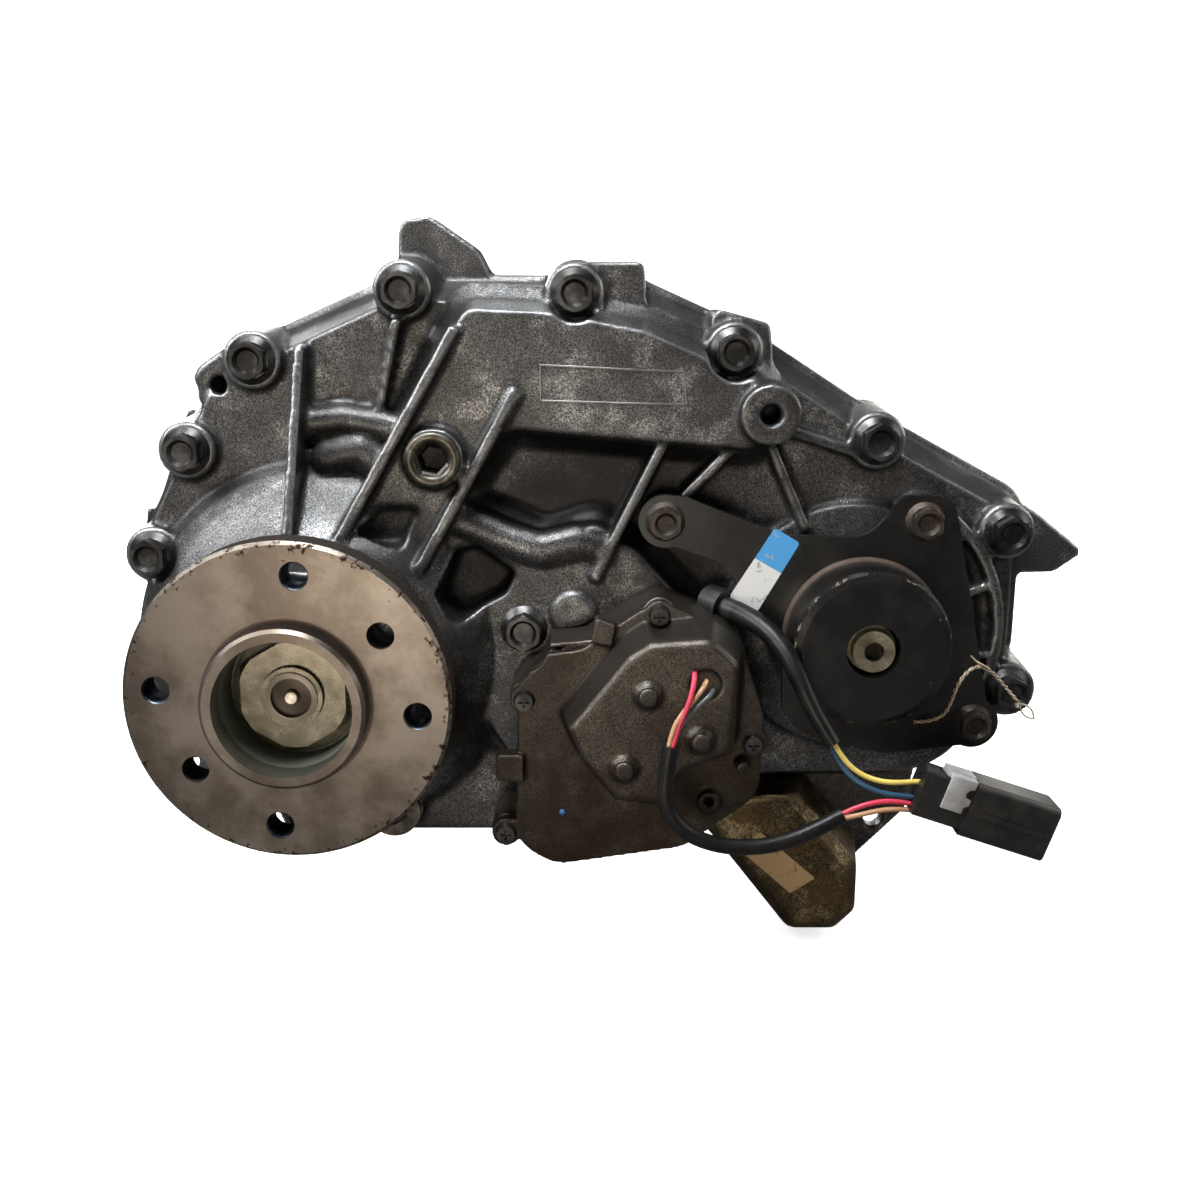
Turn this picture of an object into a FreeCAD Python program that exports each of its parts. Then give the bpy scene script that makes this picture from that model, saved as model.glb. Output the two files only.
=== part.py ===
import FreeCAD, Part
import math
import os

# Four-wheel-drive transfer case, millimetres.
# X points right and Z points up, seen from behind the vehicle. Y points forward, to the gearbox.
# The origin lies on the main axis, in the face that bolts to the gearbox.

V = FreeCAD.Vector
FORWARD = V(0, 1, 0)

# Clearances
SEAT_GAP = 0.1        # between a pressed piece and its bore
RUN_GAP = 0.1         # running fit of a shaft, seal or sleeve
FREE_GAP = 0.6        # between pieces that pass each other
BOLT_GAP = 0.5        # between a screw and its plain hole

# Planetary gear set
MODULE = 2.0
PRESSURE = math.radians(25.0)
ADDENDUM = 0.8
DEDENDUM = 1.05
BACKLASH = 0.16
SUN_TEETH = 36
PLANET_TEETH = 12
RING_TEETH = SUN_TEETH + 2 * PLANET_TEETH
PLANETS = 4
CARRIER_R = MODULE * (SUN_TEETH + PLANET_TEETH) / 2.0
RING_OUT_R = 70.0
GEAR_FRONT = -34.0
GEAR_BACK = -54.0
RING_OVER = 2.0
CARRIER_PLATE = 3.5
PLANET_PIN_R = 5.0

# Chain drive to the front output
PITCH = 9.525
SPROCKET_TEETH = 36
STRAND_LINKS = 26
FRONT_Z = 11.1
PITCH_R = PITCH / (2.0 * math.sin(math.pi / SPROCKET_TEETH))
CENTRES = PITCH * STRAND_LINKS
FRONT_X = math.sqrt(CENTRES ** 2 - FRONT_Z ** 2)
CHAIN_TILT = math.atan2(FRONT_Z, FRONT_X)
CHAIN_WIDTH = 16.0
CHAIN_MID = -117.0
LINK_OUT = 4.0
LINK_TOE = 4.3
CHAIN_ROOM = 5.0

# Stations along the main axis
SPLIT = -95.0
FLANGE_THICK = 12.0
BOLT_SEAT = -140.0
COVER_FLOOR = -134.0
COVER_WALL = 6.0
BAND_TOP = -152.0
SNOUT_END = -195.0
REAR_BEARING = (-150.0, -168.0)
REAR_SEAL = (-185.0, -195.0)
INPUT_BEARING = (-12.0, -26.0)
INPUT_SEAL = (-5.5, -11.0)
FRONT_FLOOR = -50.0
BARREL_END = -14.0
BARREL_R = 78.0
ADAPTER_R = 98.0
SPIGOT_R = 45.0
SPIGOT_DEEP = 5.0

# Rear output flange
FLANGE_R = 68.0
FLANGE_FACE = -220.0
FLANGE_PLATE = 16.0
PILOT_R = 34.0
PILOT_BORE_R = 28.75
PILOT_PROUD = 10.0
NUT_SEAT = -198.0
HUB_R = 32.0
FLANGE_PCD = 108.0
FLANGE_BOLTS = (84.0, 174.0, 264.0, 354.0)
FLANGE_BOLT_R = 6.0
PLAIN_PCD = 98.0
PLAIN_HOLES = (36.0, 216.0)
PLAIN_HOLE_R = 5.75
SHAFT_END = -213.0
SHAFT_END_R = 11.0
NUT_AF = 44.0
NUT_THICK = 11.0

# Main shaft
SHAFT_R = 20.0
PILOT_SHAFT_R = 12.0
SPLINE_R = 17.5

# Front output
FRONT_BEARING = (-60.0, -76.0)
TAIL_BEARING = (-128.0, -140.0)
FRONT_SEAL = (-34.0, -42.0)
FRONT_SNOUT_END = -34.0
FRONT_SNOUT_R = 42.0
FRONT_SHAFT_R = 17.5
FRONT_FLANGE_R = 50.0
FRONT_FLANGE_FACE = -12.0
FRONT_FLANGE_PLATE = 10.0
FRONT_FLANGE_PCD = 78.0
FRONT_FLANGE_BOLT_R = 5.0
FRONT_HUB_R = 26.0
FRONT_PILOT_R = 23.0
FRONT_PILOT_PROUD = 3.0
FRONT_BOLTS = 4

# Shift gear
RAIL = (86.0, -26.0)
RAIL_R = 7.0
CAM = (125.0, -12.0)
CAM_R = 19.0
CAM_SHAFT_R = 7.0
COLLAR_GROOVE_R = 28.0
COLLAR_RIM_R = 33.0

# Outline of the joint between the two case halves: X, Z and corner radius
CASE_OUTLINE = (
    (-92.0, -104.0, 94.0),
    (112.0, -104.0, 40.0),
    (206.0, -75.0, 40.0),
    (304.0, -74.0, 50.0),
    (334.0, -10.0, 50.0),
    (334.0, 70.0, 16.0),
    (256.0, 112.0, 30.0),
    (200.0, 148.0, 24.0),
    (146.0, 172.0, 24.0),
    (34.0, 173.0, 24.0),
    (-55.0, 134.0, 34.0),
    (-92.0, 62.0, 40.0),
)

# Scallops in the edge of both halves between the left bosses: X, Z and radius
SCALLOPS = ((-91.3, 76.3, 14.0), (-64.6, 120.3, 10.0))

# Case bolts: M10, seated on the rear case. The last one stands between the chain strands.
CASE_BOLTS = (
    (-78.2, 46.2), (-59.3, 94.5), (-27.2, 135.2), (41.0, 165.7), (117.9, 164.4),
    (189.3, 138.8), (255.2, 99.0), (317.3, 57.1), (322.9, -19.2), (93.8, 12.7),
)
LOW_BOLTS = ((-75.0, -50.0), (-20.0, -91.0), (120.0, -88.0))
LOW_SEAT = -116.0
BOSS_R = 13.0
BOLT_R = 5.0
BOLT_AF = 15.0
BOLT_HEAD = 9.5
BOLT_WASHER_R = 11.0
BOLT_GRIP = 22.0
SPOT_FACE_GAP = 1.5
SPOT_FACE_REACH = 60.0

# Plug, blind boss and open lug on the rear case
FILL_PLUG = (55.1, 93.1)
PLUG_R = 12.5
PLUG_SEAT = -158.0
BLIND_BOSS = (204.5, 112.1)
BLIND_BOSS_R = 13.5
BLIND_TOP = -157.0
BLIND_HOLE_R = 5.0
BLIND_DEEP = 22.0
OPEN_LUG = (-44.7, 123.5)
OPEN_LUG_R = 12.0
OPEN_HOLE_R = 4.25

# Vibration damper
DAMPER = (FRONT_X + 2.0, FRONT_Z)
DAMPER_R = 35.5
DAMPER_FRONT = -181.0
PLATE_BACK = -150.0
PLATE_THICK = 4.0
BRACKET_LUGS = ((158.4, 64.4), (275.3, 64.4), (302.8, -30.8))
BRACKET_LUG_R = 12.0
BRACKET_BOLT_R = 4.0
BRACKET_OUTLINE = (
    (147.0, 58.0, 9.0),
    (184.0, 46.0, 16.0),
    (213.0, 10.0, 12.0),
    (214.0, -34.0, 20.0),
    (262.0, -46.0, 30.0),
    (313.0, -40.0, 9.0),
    (300.0, 20.0, 30.0),
    (288.0, 76.0, 10.0),
    (266.0, 76.0, 8.0),
    (250.0, 57.0, 16.0),
    (212.0, 58.0, 16.0),
    (166.0, 76.0, 12.0),
    (152.0, 76.0, 9.0),
)

# Shift actuator
DUCT_TOP = -147.0
ACTUATOR_SPLIT = -175.0
ACTUATOR_TOP = -205.0
ACTUATOR_OUTLINE = (
    (87.0, -80.0, 20.0),
    (108.0, -93.0, 20.0),
    (168.0, -84.0, 24.0),
    (203.0, -58.0, 18.0),
    (205.0, -20.0, 20.0),
    (192.0, 20.0, 18.0),
    (160.0, 34.0, 10.0),
    (146.0, 32.0, 8.0),
    (120.0, 14.0, 10.0),
    (104.0, 12.0, 7.0),
    (90.0, -4.0, 7.0),
    (90.0, -44.0, 10.0),
)
MOTOR_OUTLINE = (
    (111.0, -16.0, 5.0),
    (118.0, -33.0, 6.0),
    (133.0, -53.0, 7.0),
    (157.0, -56.0, 6.0),
    (167.0, -39.0, 6.0),
    (190.0, -31.0, 8.0),
    (192.0, 14.0, 11.0),
    (178.0, 27.0, 13.0),
    (149.0, 25.0, 6.0),
    (138.0, 18.0, 5.0),
)
ACTUATOR_SCREWS = ((95.4, -11.5), (86.3, -74.4), (155.0, 27.3), (197.6, -31.8))
SCREW_R = 2.5
MOTOR_PINS = ((149.3, -1.1), (171.7, -21.1), (139.3, -33.8))
MOTOR_PIN_R = 4.6
WIRE_HOLE = (173.8, 3.2)
WIRE_HOLE_R = 7.0
WIRE_HOLE_DEEP = 3.0
RIVET = (178.1, -58.8)
RIVET_R = 4.0
SIDE_PIN = (192.4, -40.3)
SIDE_PIN_R = 3.0
COVER_TABS = (
    ((125.0, 16.0, 1.5), (134.0, 14.0, 1.5), (136.0, 24.0, 1.5), (127.0, 27.0, 1.5)),
    ((82.5, -48.5, 1.5), (95.0, -48.5, 1.5), (95.0, -36.0, 1.5), (82.5, -36.0, 1.5)),
)

# Mounting foot, bolted to an ear of the front case
FOOT_EAR = (
    (180.0, -104.0, 8.0),
    (216.0, -147.0, 8.0),
    (240.0, -150.0, 8.0),
    (262.0, -126.0, 14.0),
    (289.0, -98.0, 8.0),
    (296.0, -50.0, 4.0),
    (186.0, -60.0, 4.0),
)
FOOT_OUTLINE = (
    (172.0, -90.0, 8.0),
    (222.0, -155.0, 12.0),
    (250.0, -155.0, 9.0),
    (263.0, -142.0, 9.0),
    (263.0, -112.0, 14.0),
    (222.0, -62.0, 8.0),
    (190.0, -62.0, 8.0),
)
FOOT_SHOULDER = -126.0
FOOT_FACE = -133.0
FOOT_BOLTS = ((208.0, -104.0), (244.0, -130.0))
FOOT_BOLT_R = 6.0
EAR_HOLE = (272.0, -104.0)
EAR_HOLE_R = 5.0

# Dowels across the joint between the halves
DOWELS = ((-83.5, 20.0), (325.5, 22.0))
DOWEL_R = 4.0
DOWEL_HALF = 10.0

# Drain plug, breather and oil pump
DRAIN_PLUG = (30.0, -78.0)
DRAIN_SEAT = -142.0
BREATHER = (96.0, 122.0)
BREATHER_R = 4.0
PUMP = (-130.0, -142.0)
PUMP_R = 46.0

# Looms and their connector
LOOM_D = 7.0
WIRES_R = 2.0
WIRE_LEAD = 3.0
WIRE_IN = 8.0
MOTOR_LOOM = (
    (158.6, -213.2, -21.0),
    (156.6, -214.0, -33.0),
    (156.3, -214.5, -46.5),
    (163.0, -214.5, -58.0),
    (175.0, -214.0, -64.5),
    (189.0, -213.0, -67.2),
    (204.0, -211.0, -66.8),
    (219.5, -208.0, -62.5),
    (234.0, -204.5, -55.8),
)
SENSOR_LOOM = (
    (190.5, -160.0, 24.0),
    (199.0, -169.0, 22.0),
    (208.5, -180.0, 14.5),
    (215.5, -189.5, 2.0),
    (221.5, -195.0, -12.5),
    (230.0, -198.0, -25.5),
)
CONNECTOR_BACK = (266.0, -201.0, -44.0)
CONNECTOR_FRONT = (323.0, -201.0, -63.0)
CONNECTOR_TALL = 25.0
CONNECTOR_DEEP = 22.0
WIRE_ENTRY = 5.0


def rod(x, z, y_a, y_b, r):
    return Part.makeCylinder(r, abs(y_b - y_a), V(x, min(y_a, y_b), z), FORWARD)


def ring(x, z, y_a, y_b, r_out, r_in):
    return rod(x, z, y_a, y_b, r_out).cut(rod(x, z, y_a, y_b, r_in))


def turned(profile, x=0.0, z=0.0):
    """A solid of revolution about a line along Y, from a closed profile of radius and station."""
    points = [V(x + r, y, z) for r, y in profile]
    face = Part.Face(Part.makePolygon(points + points[:1]))
    return face.revolve(V(x, 0, z), FORWARD, 360)


def unit(ax, az):
    length = math.hypot(ax, az)
    return ax / length, az / length


def moved_corner(corners, i, inset):
    """The corner of the outline after every side has moved inwards by the inset."""
    (x0, z0), (x1, z1), (x2, z2) = [corners[(i + k) % len(corners)][:2] for k in (-1, 0, 1)]
    ux, uz = unit(x1 - x0, z1 - z0)
    wx, wz = unit(x2 - x1, z2 - z1)
    turn = ux * wz - uz * wx
    shift = inset * (ux * wx + uz * wz - 1.0) / turn
    return x1 - uz * inset + ux * shift, z1 + ux * inset + uz * shift, turn > 0


def outline(corners, y, inset=0.0):
    """A closed wire through rounded corners, listed counter-clockwise as X, Z and radius."""
    arcs = []
    moved = [moved_corner(corners, i, inset) for i in range(len(corners))]
    for i, (x, z, convex) in enumerate(moved):
        px, pz = moved[i - 1][:2]
        nx, nz = moved[(i + 1) % len(moved)][:2]
        ax, az = unit(px - x, pz - z)
        bx, bz = unit(nx - x, nz - z)
        half = math.acos(max(-1.0, min(1.0, ax * bx + az * bz))) / 2.0
        radius = corners[i][2] + (-inset if convex else inset)
        radius = max(radius, 0.8)
        run = radius / math.tan(half)
        mx, mz = unit(ax + bx, az + bz)
        deep = radius / math.sin(half) - radius
        arcs.append((V(x + ax * run, y, z + az * run), V(x + mx * deep, y, z + mz * deep),
                     V(x + bx * run, y, z + bz * run)))
    edges = []
    for i, (start, middle, end) in enumerate(arcs):
        edges.append(Part.Arc(start, middle, end).toShape())
        edges.append(Part.LineSegment(end, arcs[(i + 1) % len(arcs)][0]).toShape())
    return Part.Wire(edges)


def slab(corners, y_a, y_b, inset=0.0):
    return Part.Face(outline(corners, y_a, inset)).extrude(V(0, y_b - y_a, 0))


def draft(corners, y_a, y_b, inset_a, inset_b):
    """A slab with sloping sides, like a cast form with its draft."""
    return Part.makeLoft([outline(corners, y_a, inset_a), outline(corners, y_b, inset_b)], True, True)


def bar(p, q, y_a, y_b, r):
    """A flat link with round ends between two points, r wide to each side."""
    dx, dz = unit(q[0] - p[0], q[1] - p[1])
    corners = [(p[0] - dx * r + dz * r, p[1] - dz * r - dx * r, r * 0.999),
               (q[0] + dx * r + dz * r, q[1] + dz * r - dx * r, r * 0.999),
               (q[0] + dx * r - dz * r, q[1] + dz * r + dx * r, r * 0.999),
               (p[0] - dx * r - dz * r, p[1] - dz * r + dx * r, r * 0.999)]
    return slab(corners, y_a, y_b)


def rib(p, q, base, top_p, top_q, thick):
    """A thin cast rib between two points, with its own height at each end."""
    dx, dz = unit(q[0] - p[0], q[1] - p[1])
    nx, nz = -dz * thick / 2.0, dx * thick / 2.0
    points = [V(p[0] - nx, base, p[1] - nz), V(q[0] - nx, base, q[1] - nz),
              V(q[0] - nx, top_q, q[1] - nz), V(p[0] - nx, top_p, p[1] - nz)]
    return Part.Face(Part.makePolygon(points + points[:1])).extrude(V(2 * nx, 0, 2 * nz))


def hexagon(x, z, y_a, y_b, flats):
    points = []
    for k in range(6):
        angle = math.radians(60 * k + 30)
        reach = flats / math.sqrt(3.0)
        points.append(V(x + reach * math.cos(angle), y_a, z + reach * math.sin(angle)))
    return Part.Face(Part.makePolygon(points + points[:1])).extrude(V(0, y_b - y_a, 0))


def joined(shapes):
    whole = shapes[0]
    for shape in shapes[1:]:
        whole = whole.fuse(shape)
    return whole


def save(name, shape):
    shape.exportStep("parts/" + name + ".step")
    kind = "solid" if len(shape.Solids) == 1 else "solids"
    print(name, len(shape.Solids), kind, "valid" if shape.isValid() else "NOT VALID", round(shape.Volume))


# Gears

def half_tooth(r, pitch_r, teeth, extra):
    """Half the angle of an involute tooth at a radius; below the base circle it stays the same."""
    base_r = pitch_r * math.cos(PRESSURE)
    at_r = math.acos(min(1.0, base_r / max(r, base_r)))
    at_pitch = math.tan(PRESSURE) - PRESSURE
    return math.pi / (2 * teeth) + at_pitch - (math.tan(at_r) - at_r) + extra / (2 * pitch_r)


def tooth_wire(teeth, y, add, ded, extra, first):
    """The outline of a gear with involute teeth, the first one centred on the given angle."""
    pitch_r = MODULE * teeth / 2.0
    tip = pitch_r + add * MODULE
    root = pitch_r - ded * MODULE
    start_r = max(root, pitch_r * math.cos(PRESSURE))

    def polar(r, angle):
        return V(r * math.cos(angle), y, r * math.sin(angle))

    edges = []
    middle_r = (start_r + tip) / 2.0
    for k in range(teeth):
        centre = first + 2 * math.pi * k / teeth
        after = centre + 2 * math.pi / teeth
        low, mid, high = [half_tooth(r, pitch_r, teeth, extra) for r in (start_r, middle_r, tip)]
        foot_a, foot_b = polar(start_r, centre - low), polar(start_r, centre + low)
        tip_a, tip_b = polar(tip, centre - high), polar(tip, centre + high)
        if start_r > root:
            edges.append(Part.LineSegment(polar(root, centre - low), foot_a).toShape())
        edges.append(Part.Arc(foot_a, polar(middle_r, centre - mid), tip_a).toShape())
        edges.append(Part.LineSegment(tip_a, tip_b).toShape())
        edges.append(Part.Arc(tip_b, polar(middle_r, centre + mid), foot_b).toShape())
        if start_r > root:
            edges.append(Part.LineSegment(foot_b, polar(root, centre + low)).toShape())
        edges.append(Part.LineSegment(polar(root, centre + low), polar(root, after - low)).toShape())
    return Part.Wire(edges)


def gear_body(teeth, y_a, y_b, first):
    wire = tooth_wire(teeth, y_a, ADDENDUM, DEDENDUM, -BACKLASH, first)
    return Part.Face(wire).extrude(V(0, y_b - y_a, 0))


def ring_gear():
    y_a, y_b = GEAR_FRONT + RING_OVER, GEAR_BACK - RING_OVER
    blank = rod(0, 0, y_a, y_b, RING_OUT_R)
    space = tooth_wire(RING_TEETH, y_a, DEDENDUM, ADDENDUM, BACKLASH, math.pi / RING_TEETH)
    return blank.cut(Part.Face(space).extrude(V(0, y_b - y_a, 0)))


def planet_places():
    return [2 * math.pi * k / PLANETS for k in range(PLANETS)]


def planet_gear(angle):
    body = gear_body(PLANET_TEETH, GEAR_FRONT, GEAR_BACK, math.pi / PLANET_TEETH)
    body.translate(V(CARRIER_R * math.cos(angle), 0, CARRIER_R * math.sin(angle)))
    hole = rod(CARRIER_R * math.cos(angle), CARRIER_R * math.sin(angle), GEAR_FRONT, GEAR_BACK,
               PLANET_PIN_R + RUN_GAP)
    return body.cut(hole)


INPUT_END = GEAR_BACK - 6.0
INPUT_R = 22.0
INPUT_SPLINE_R = 15.0
DOG_R = 24.0
DRUM_R = 43.0
DRUM_END = -74.0
DRUM_TOOTH_R = 36.4
COLLAR_TOOTH_R = 35.6
COLLAR_NOSE = (INPUT_END + 7.0, INPUT_END)


def input_shaft():
    """Hollow input shaft with the sun gear; the gearbox shaft plugs into its front bore."""
    body = gear_body(SUN_TEETH, GEAR_FRONT, GEAR_BACK, 0.0)
    tail = rod(0, 0, GEAR_BACK, INPUT_END, DOG_R + 5.0)
    neck = rod(0, 0, GEAR_FRONT, INPUT_SEAL[0] - 1.0, INPUT_R)
    shoulder = rod(0, 0, INPUT_BEARING[1], GEAR_FRONT, INPUT_R + 4.0)
    whole = joined([body, tail, neck, shoulder])
    front = rod(0, 0, 0, INPUT_BEARING[1] - 8.0, INPUT_SPLINE_R)
    pilot = rod(0, 0, INPUT_BEARING[1] - 8.0, INPUT_END, PILOT_SHAFT_R + RUN_GAP)
    dogs = rod(0, 0, INPUT_END, INPUT_END + 8.0, DOG_R + FREE_GAP)
    return whole.cut([front, pilot, dogs])


def planet_carrier():
    front = ring(0, 0, GEAR_FRONT + CARRIER_PLATE, GEAR_FRONT + 0.3, 57.0, INPUT_R + 4.0 + FREE_GAP)
    back = ring(0, 0, GEAR_BACK - 0.3, GEAR_BACK - CARRIER_PLATE, 57.0, DOG_R + 5.0 + FREE_GAP)
    drum = ring(0, 0, GEAR_BACK - 0.3, DRUM_END, DRUM_R, DRUM_R - 4.0)
    dog_ring = ring(0, 0, DRUM_END, DRUM_END + 5.5, DRUM_R - 3.0, DRUM_TOOTH_R)
    pieces = [front, back, drum, dog_ring]
    for angle in planet_places():
        x, z = CARRIER_R * math.cos(angle), CARRIER_R * math.sin(angle)
        pieces.append(rod(x, z, GEAR_FRONT + CARRIER_PLATE, GEAR_BACK - CARRIER_PLATE, PLANET_PIN_R))
        web_angle = angle + math.pi / PLANETS
        pieces.append(rod(CARRIER_R * math.cos(web_angle), CARRIER_R * math.sin(web_angle),
                          GEAR_FRONT + CARRIER_PLATE, GEAR_BACK - CARRIER_PLATE, 7.0))
    return joined(pieces)


def range_collar():
    """Slides on the main shaft between the input dogs, high range, and the carrier ring, low."""
    bore = SHAFT_R + RUN_GAP
    return turned([
        (bore, COLLAR_NOSE[0]), (DOG_R, COLLAR_NOSE[0]), (DOG_R, INPUT_END - 1.5),
        (COLLAR_TOOTH_R, INPUT_END - 1.5), (COLLAR_TOOTH_R, INPUT_END - 5.5),
        (COLLAR_GROOVE_R, INPUT_END - 5.5), (COLLAR_GROOVE_R, -75.5), (COLLAR_RIM_R, -75.5),
        (COLLAR_RIM_R, -78.0), (COLLAR_GROOVE_R, -78.0), (COLLAR_GROOVE_R, -84.0),
        (COLLAR_RIM_R, -84.0), (COLLAR_RIM_R, -86.5), (bore, -86.5)])


def mode_collar():
    """Slides on the main shaft and locks the drive sprocket to it."""
    bore = SHAFT_R + RUN_GAP
    return turned([
        (bore, -102.0), (COLLAR_RIM_R, -102.0), (COLLAR_RIM_R, -103.5), (COLLAR_GROOVE_R, -103.5),
        (COLLAR_GROOVE_R, -106.5), (COLLAR_RIM_R, -106.5), (COLLAR_RIM_R, -108.0),
        (DOG_R + 3.0, -108.0), (DOG_R + 3.0, -112.0), (bore, -112.0)])


def fork(y_mid, thick, hub_a, hub_b):
    """A shift fork: a sleeve on the rail, an arm, and a half ring in the groove of its collar."""
    sleeve = rod(RAIL[0], RAIL[1], hub_a, hub_b, RAIL_R + 5.5)
    y_a, y_b = y_mid - thick / 2.0, y_mid + thick / 2.0
    yoke = rod(0, 0, y_a, y_b, COLLAR_RIM_R + 11.0)
    away = unit(RAIL[0], RAIL[1])
    arm = bar((0, 0), RAIL, y_a, y_b, 10.0)
    body = joined([sleeve, yoke, arm])
    back = Part.makeBox(120, thick + 2, 160, V(-120, y_a - 1, -80))
    back.rotate(V(0, 0, 0), FORWARD, -math.degrees(math.atan2(away[1], away[0])))
    groove = rod(0, 0, y_a - 1, y_b + 1, COLLAR_GROOVE_R + 0.4)
    rail_hole = rod(RAIL[0], RAIL[1], hub_a + 1, min(hub_b, y_a) - 1, RAIL_R + RUN_GAP)
    return body.cut([groove, back, rail_hole])


def fork_pin(y_mid):
    """The follower that stands from the sleeve of a fork into the groove of the cam."""
    dx, dz = unit(CAM[0] - RAIL[0], CAM[1] - RAIL[1])
    start = V(RAIL[0] + dx * (RAIL_R + 3.0), y_mid, RAIL[1] + dz * (RAIL_R + 3.0))
    reach = math.hypot(CAM[0] - RAIL[0], CAM[1] - RAIL[1]) - CAM_R - 0.5 - RAIL_R - 3.0
    return Part.makeCylinder(3.0, reach, start, V(dx, 0, dz))


def range_fork():
    return joined([fork(-81.0, 5.2, -70.0, -82.0), fork_pin(-76.0)])


def mode_fork():
    return fork(-105.0, 2.4, -98.0, -110.0)


CAM_DRUM = (-62.0, -94.0)
WORM_WHEEL = (-156.0, -166.0)
WORM_WHEEL_R = 22.0


def shift_cam():
    """Cam drum in the front half, its shaft through the rear case, and the worm wheel behind it."""
    x, z = CAM
    drum = rod(x, z, CAM_DRUM[0], CAM_DRUM[1], CAM_R)
    groove = ring(x, z, -78.0, -82.0, CAM_R + 1.0, CAM_R - 2.0)
    shaft = rod(x, z, FRONT_FLOOR - COVER_WALL - 4.0, WORM_WHEEL[1], CAM_SHAFT_R)
    wheel = rod(x, z, WORM_WHEEL[0], WORM_WHEEL[1], WORM_WHEEL_R)
    notches = []
    for k in range(24):
        angle = 2 * math.pi * k / 24
        notches.append(rod(x + WORM_WHEEL_R * math.cos(angle), z + WORM_WHEEL_R * math.sin(angle),
                           WORM_WHEEL[0], WORM_WHEEL[1], 1.6))
    return joined([drum.cut(groove), shaft, wheel.cut(notches)])


WORM_R = 5.0
WORM_X = CAM[0] + WORM_WHEEL_R + WORM_R + 0.5
WORM_Y = (WORM_WHEEL[0] + WORM_WHEEL[1]) / 2.0


def actuator_worm():
    """Motor armature and worm on one shaft, upright beside the worm wheel."""
    armature = Part.makeCylinder(6.0, 17.0, V(WORM_X, WORM_Y, -45.0), V(0, 0, 1))
    shaft = Part.makeCylinder(2.5, 57.0, V(WORM_X, WORM_Y, -46.0), V(0, 0, 1))
    worm = Part.makeCylinder(WORM_R, 26.0, V(WORM_X, WORM_Y, -25.0), V(0, 0, 1))
    grooves = []
    for k in range(5):
        low = Part.makeCylinder(WORM_R + 1, 2.0, V(WORM_X, WORM_Y, -22.0 + 5.0 * k), V(0, 0, 1))
        grooves.append(low.cut(Part.makeCylinder(WORM_R - 1.2, 2.0, V(WORM_X, WORM_Y, -22.0 + 5.0 * k),
                                                 V(0, 0, 1))))
    return joined([armature, shaft, worm.cut(grooves)])


# Chain and sprockets

TOOTH_TIP_R = PITCH_R - 1.7
TOOTH_ROOT_R = PITCH_R - 5.4


def on_chain_line(along, up):
    """A point given along and across the line between the two chain axes."""
    c, s = math.cos(CHAIN_TILT), math.sin(CHAIN_TILT)
    return along * c - up * s, along * s + up * c


def sprocket_teeth(x, z, y_a, y_b, bore):
    points = []
    for k in range(SPROCKET_TEETH):
        centre = CHAIN_TILT + math.pi / 2 + 2 * math.pi * (k + 0.5) / SPROCKET_TEETH
        for r, half in ((TOOTH_ROOT_R, 2.1), (TOOTH_TIP_R, 1.0), (TOOTH_TIP_R, -1.0), (TOOTH_ROOT_R, -2.1)):
            angle = centre - half / r
            points.append(V(x + r * math.cos(angle), y_a, z + r * math.sin(angle)))
    disc = Part.Face(Part.makePolygon(points + points[:1])).extrude(V(0, y_b - y_a, 0))
    return disc.cut(rod(x, z, y_a, y_b, bore))


def drive_sprocket():
    """Runs free on the main shaft until the mode collar locks its front hub."""
    y_a, y_b = CHAIN_MID + CHAIN_WIDTH / 2, CHAIN_MID - CHAIN_WIDTH / 2
    bore = SHAFT_R + RUN_GAP
    hub = ring(0, 0, y_a, y_b, 34.0, bore)
    dogs = rod(0, 0, -108.5, -112.5, DOG_R + 3.0 + FREE_GAP)
    lip = ring(0, 0, -108.5, y_a - 1, 32.0, DOG_R + 3.0 + FREE_GAP)
    rims = sprocket_teeth(0, 0, CHAIN_MID + 5.0, CHAIN_MID - 5.0, 33.0)
    return joined([hub, lip, rims]).cut(dogs)


def driven_sprocket():
    y_a, y_b = CHAIN_MID + CHAIN_WIDTH / 2, CHAIN_MID - CHAIN_WIDTH / 2
    hub = ring(FRONT_X, FRONT_Z, y_a, y_b, 30.0, FRONT_SHAFT_R + SEAT_GAP)
    rims = sprocket_teeth(FRONT_X, FRONT_Z, CHAIN_MID + 5.0, CHAIN_MID - 5.0, 29.0)
    return joined([hub, rims])


def chain_pins():
    """The pins of the chain in order: round the drive sprocket, then round the driven one."""
    step = math.pi / (SPROCKET_TEETH / 2)
    half = SPROCKET_TEETH // 2
    pins = []
    for k in range(half):
        angle = math.pi / 2 + step * k
        pins.append((PITCH_R * math.cos(angle), PITCH_R * math.sin(angle)))
    for k in range(STRAND_LINKS):
        pins.append((PITCH * k, -PITCH_R))
    for k in range(half):
        angle = -math.pi / 2 + step * k
        pins.append((CENTRES + PITCH_R * math.cos(angle), PITCH_R * math.sin(angle)))
    for k in range(STRAND_LINKS):
        pins.append((CENTRES - PITCH * k, PITCH_R))
    return [on_chain_line(a, b) for a, b in pins]


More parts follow.
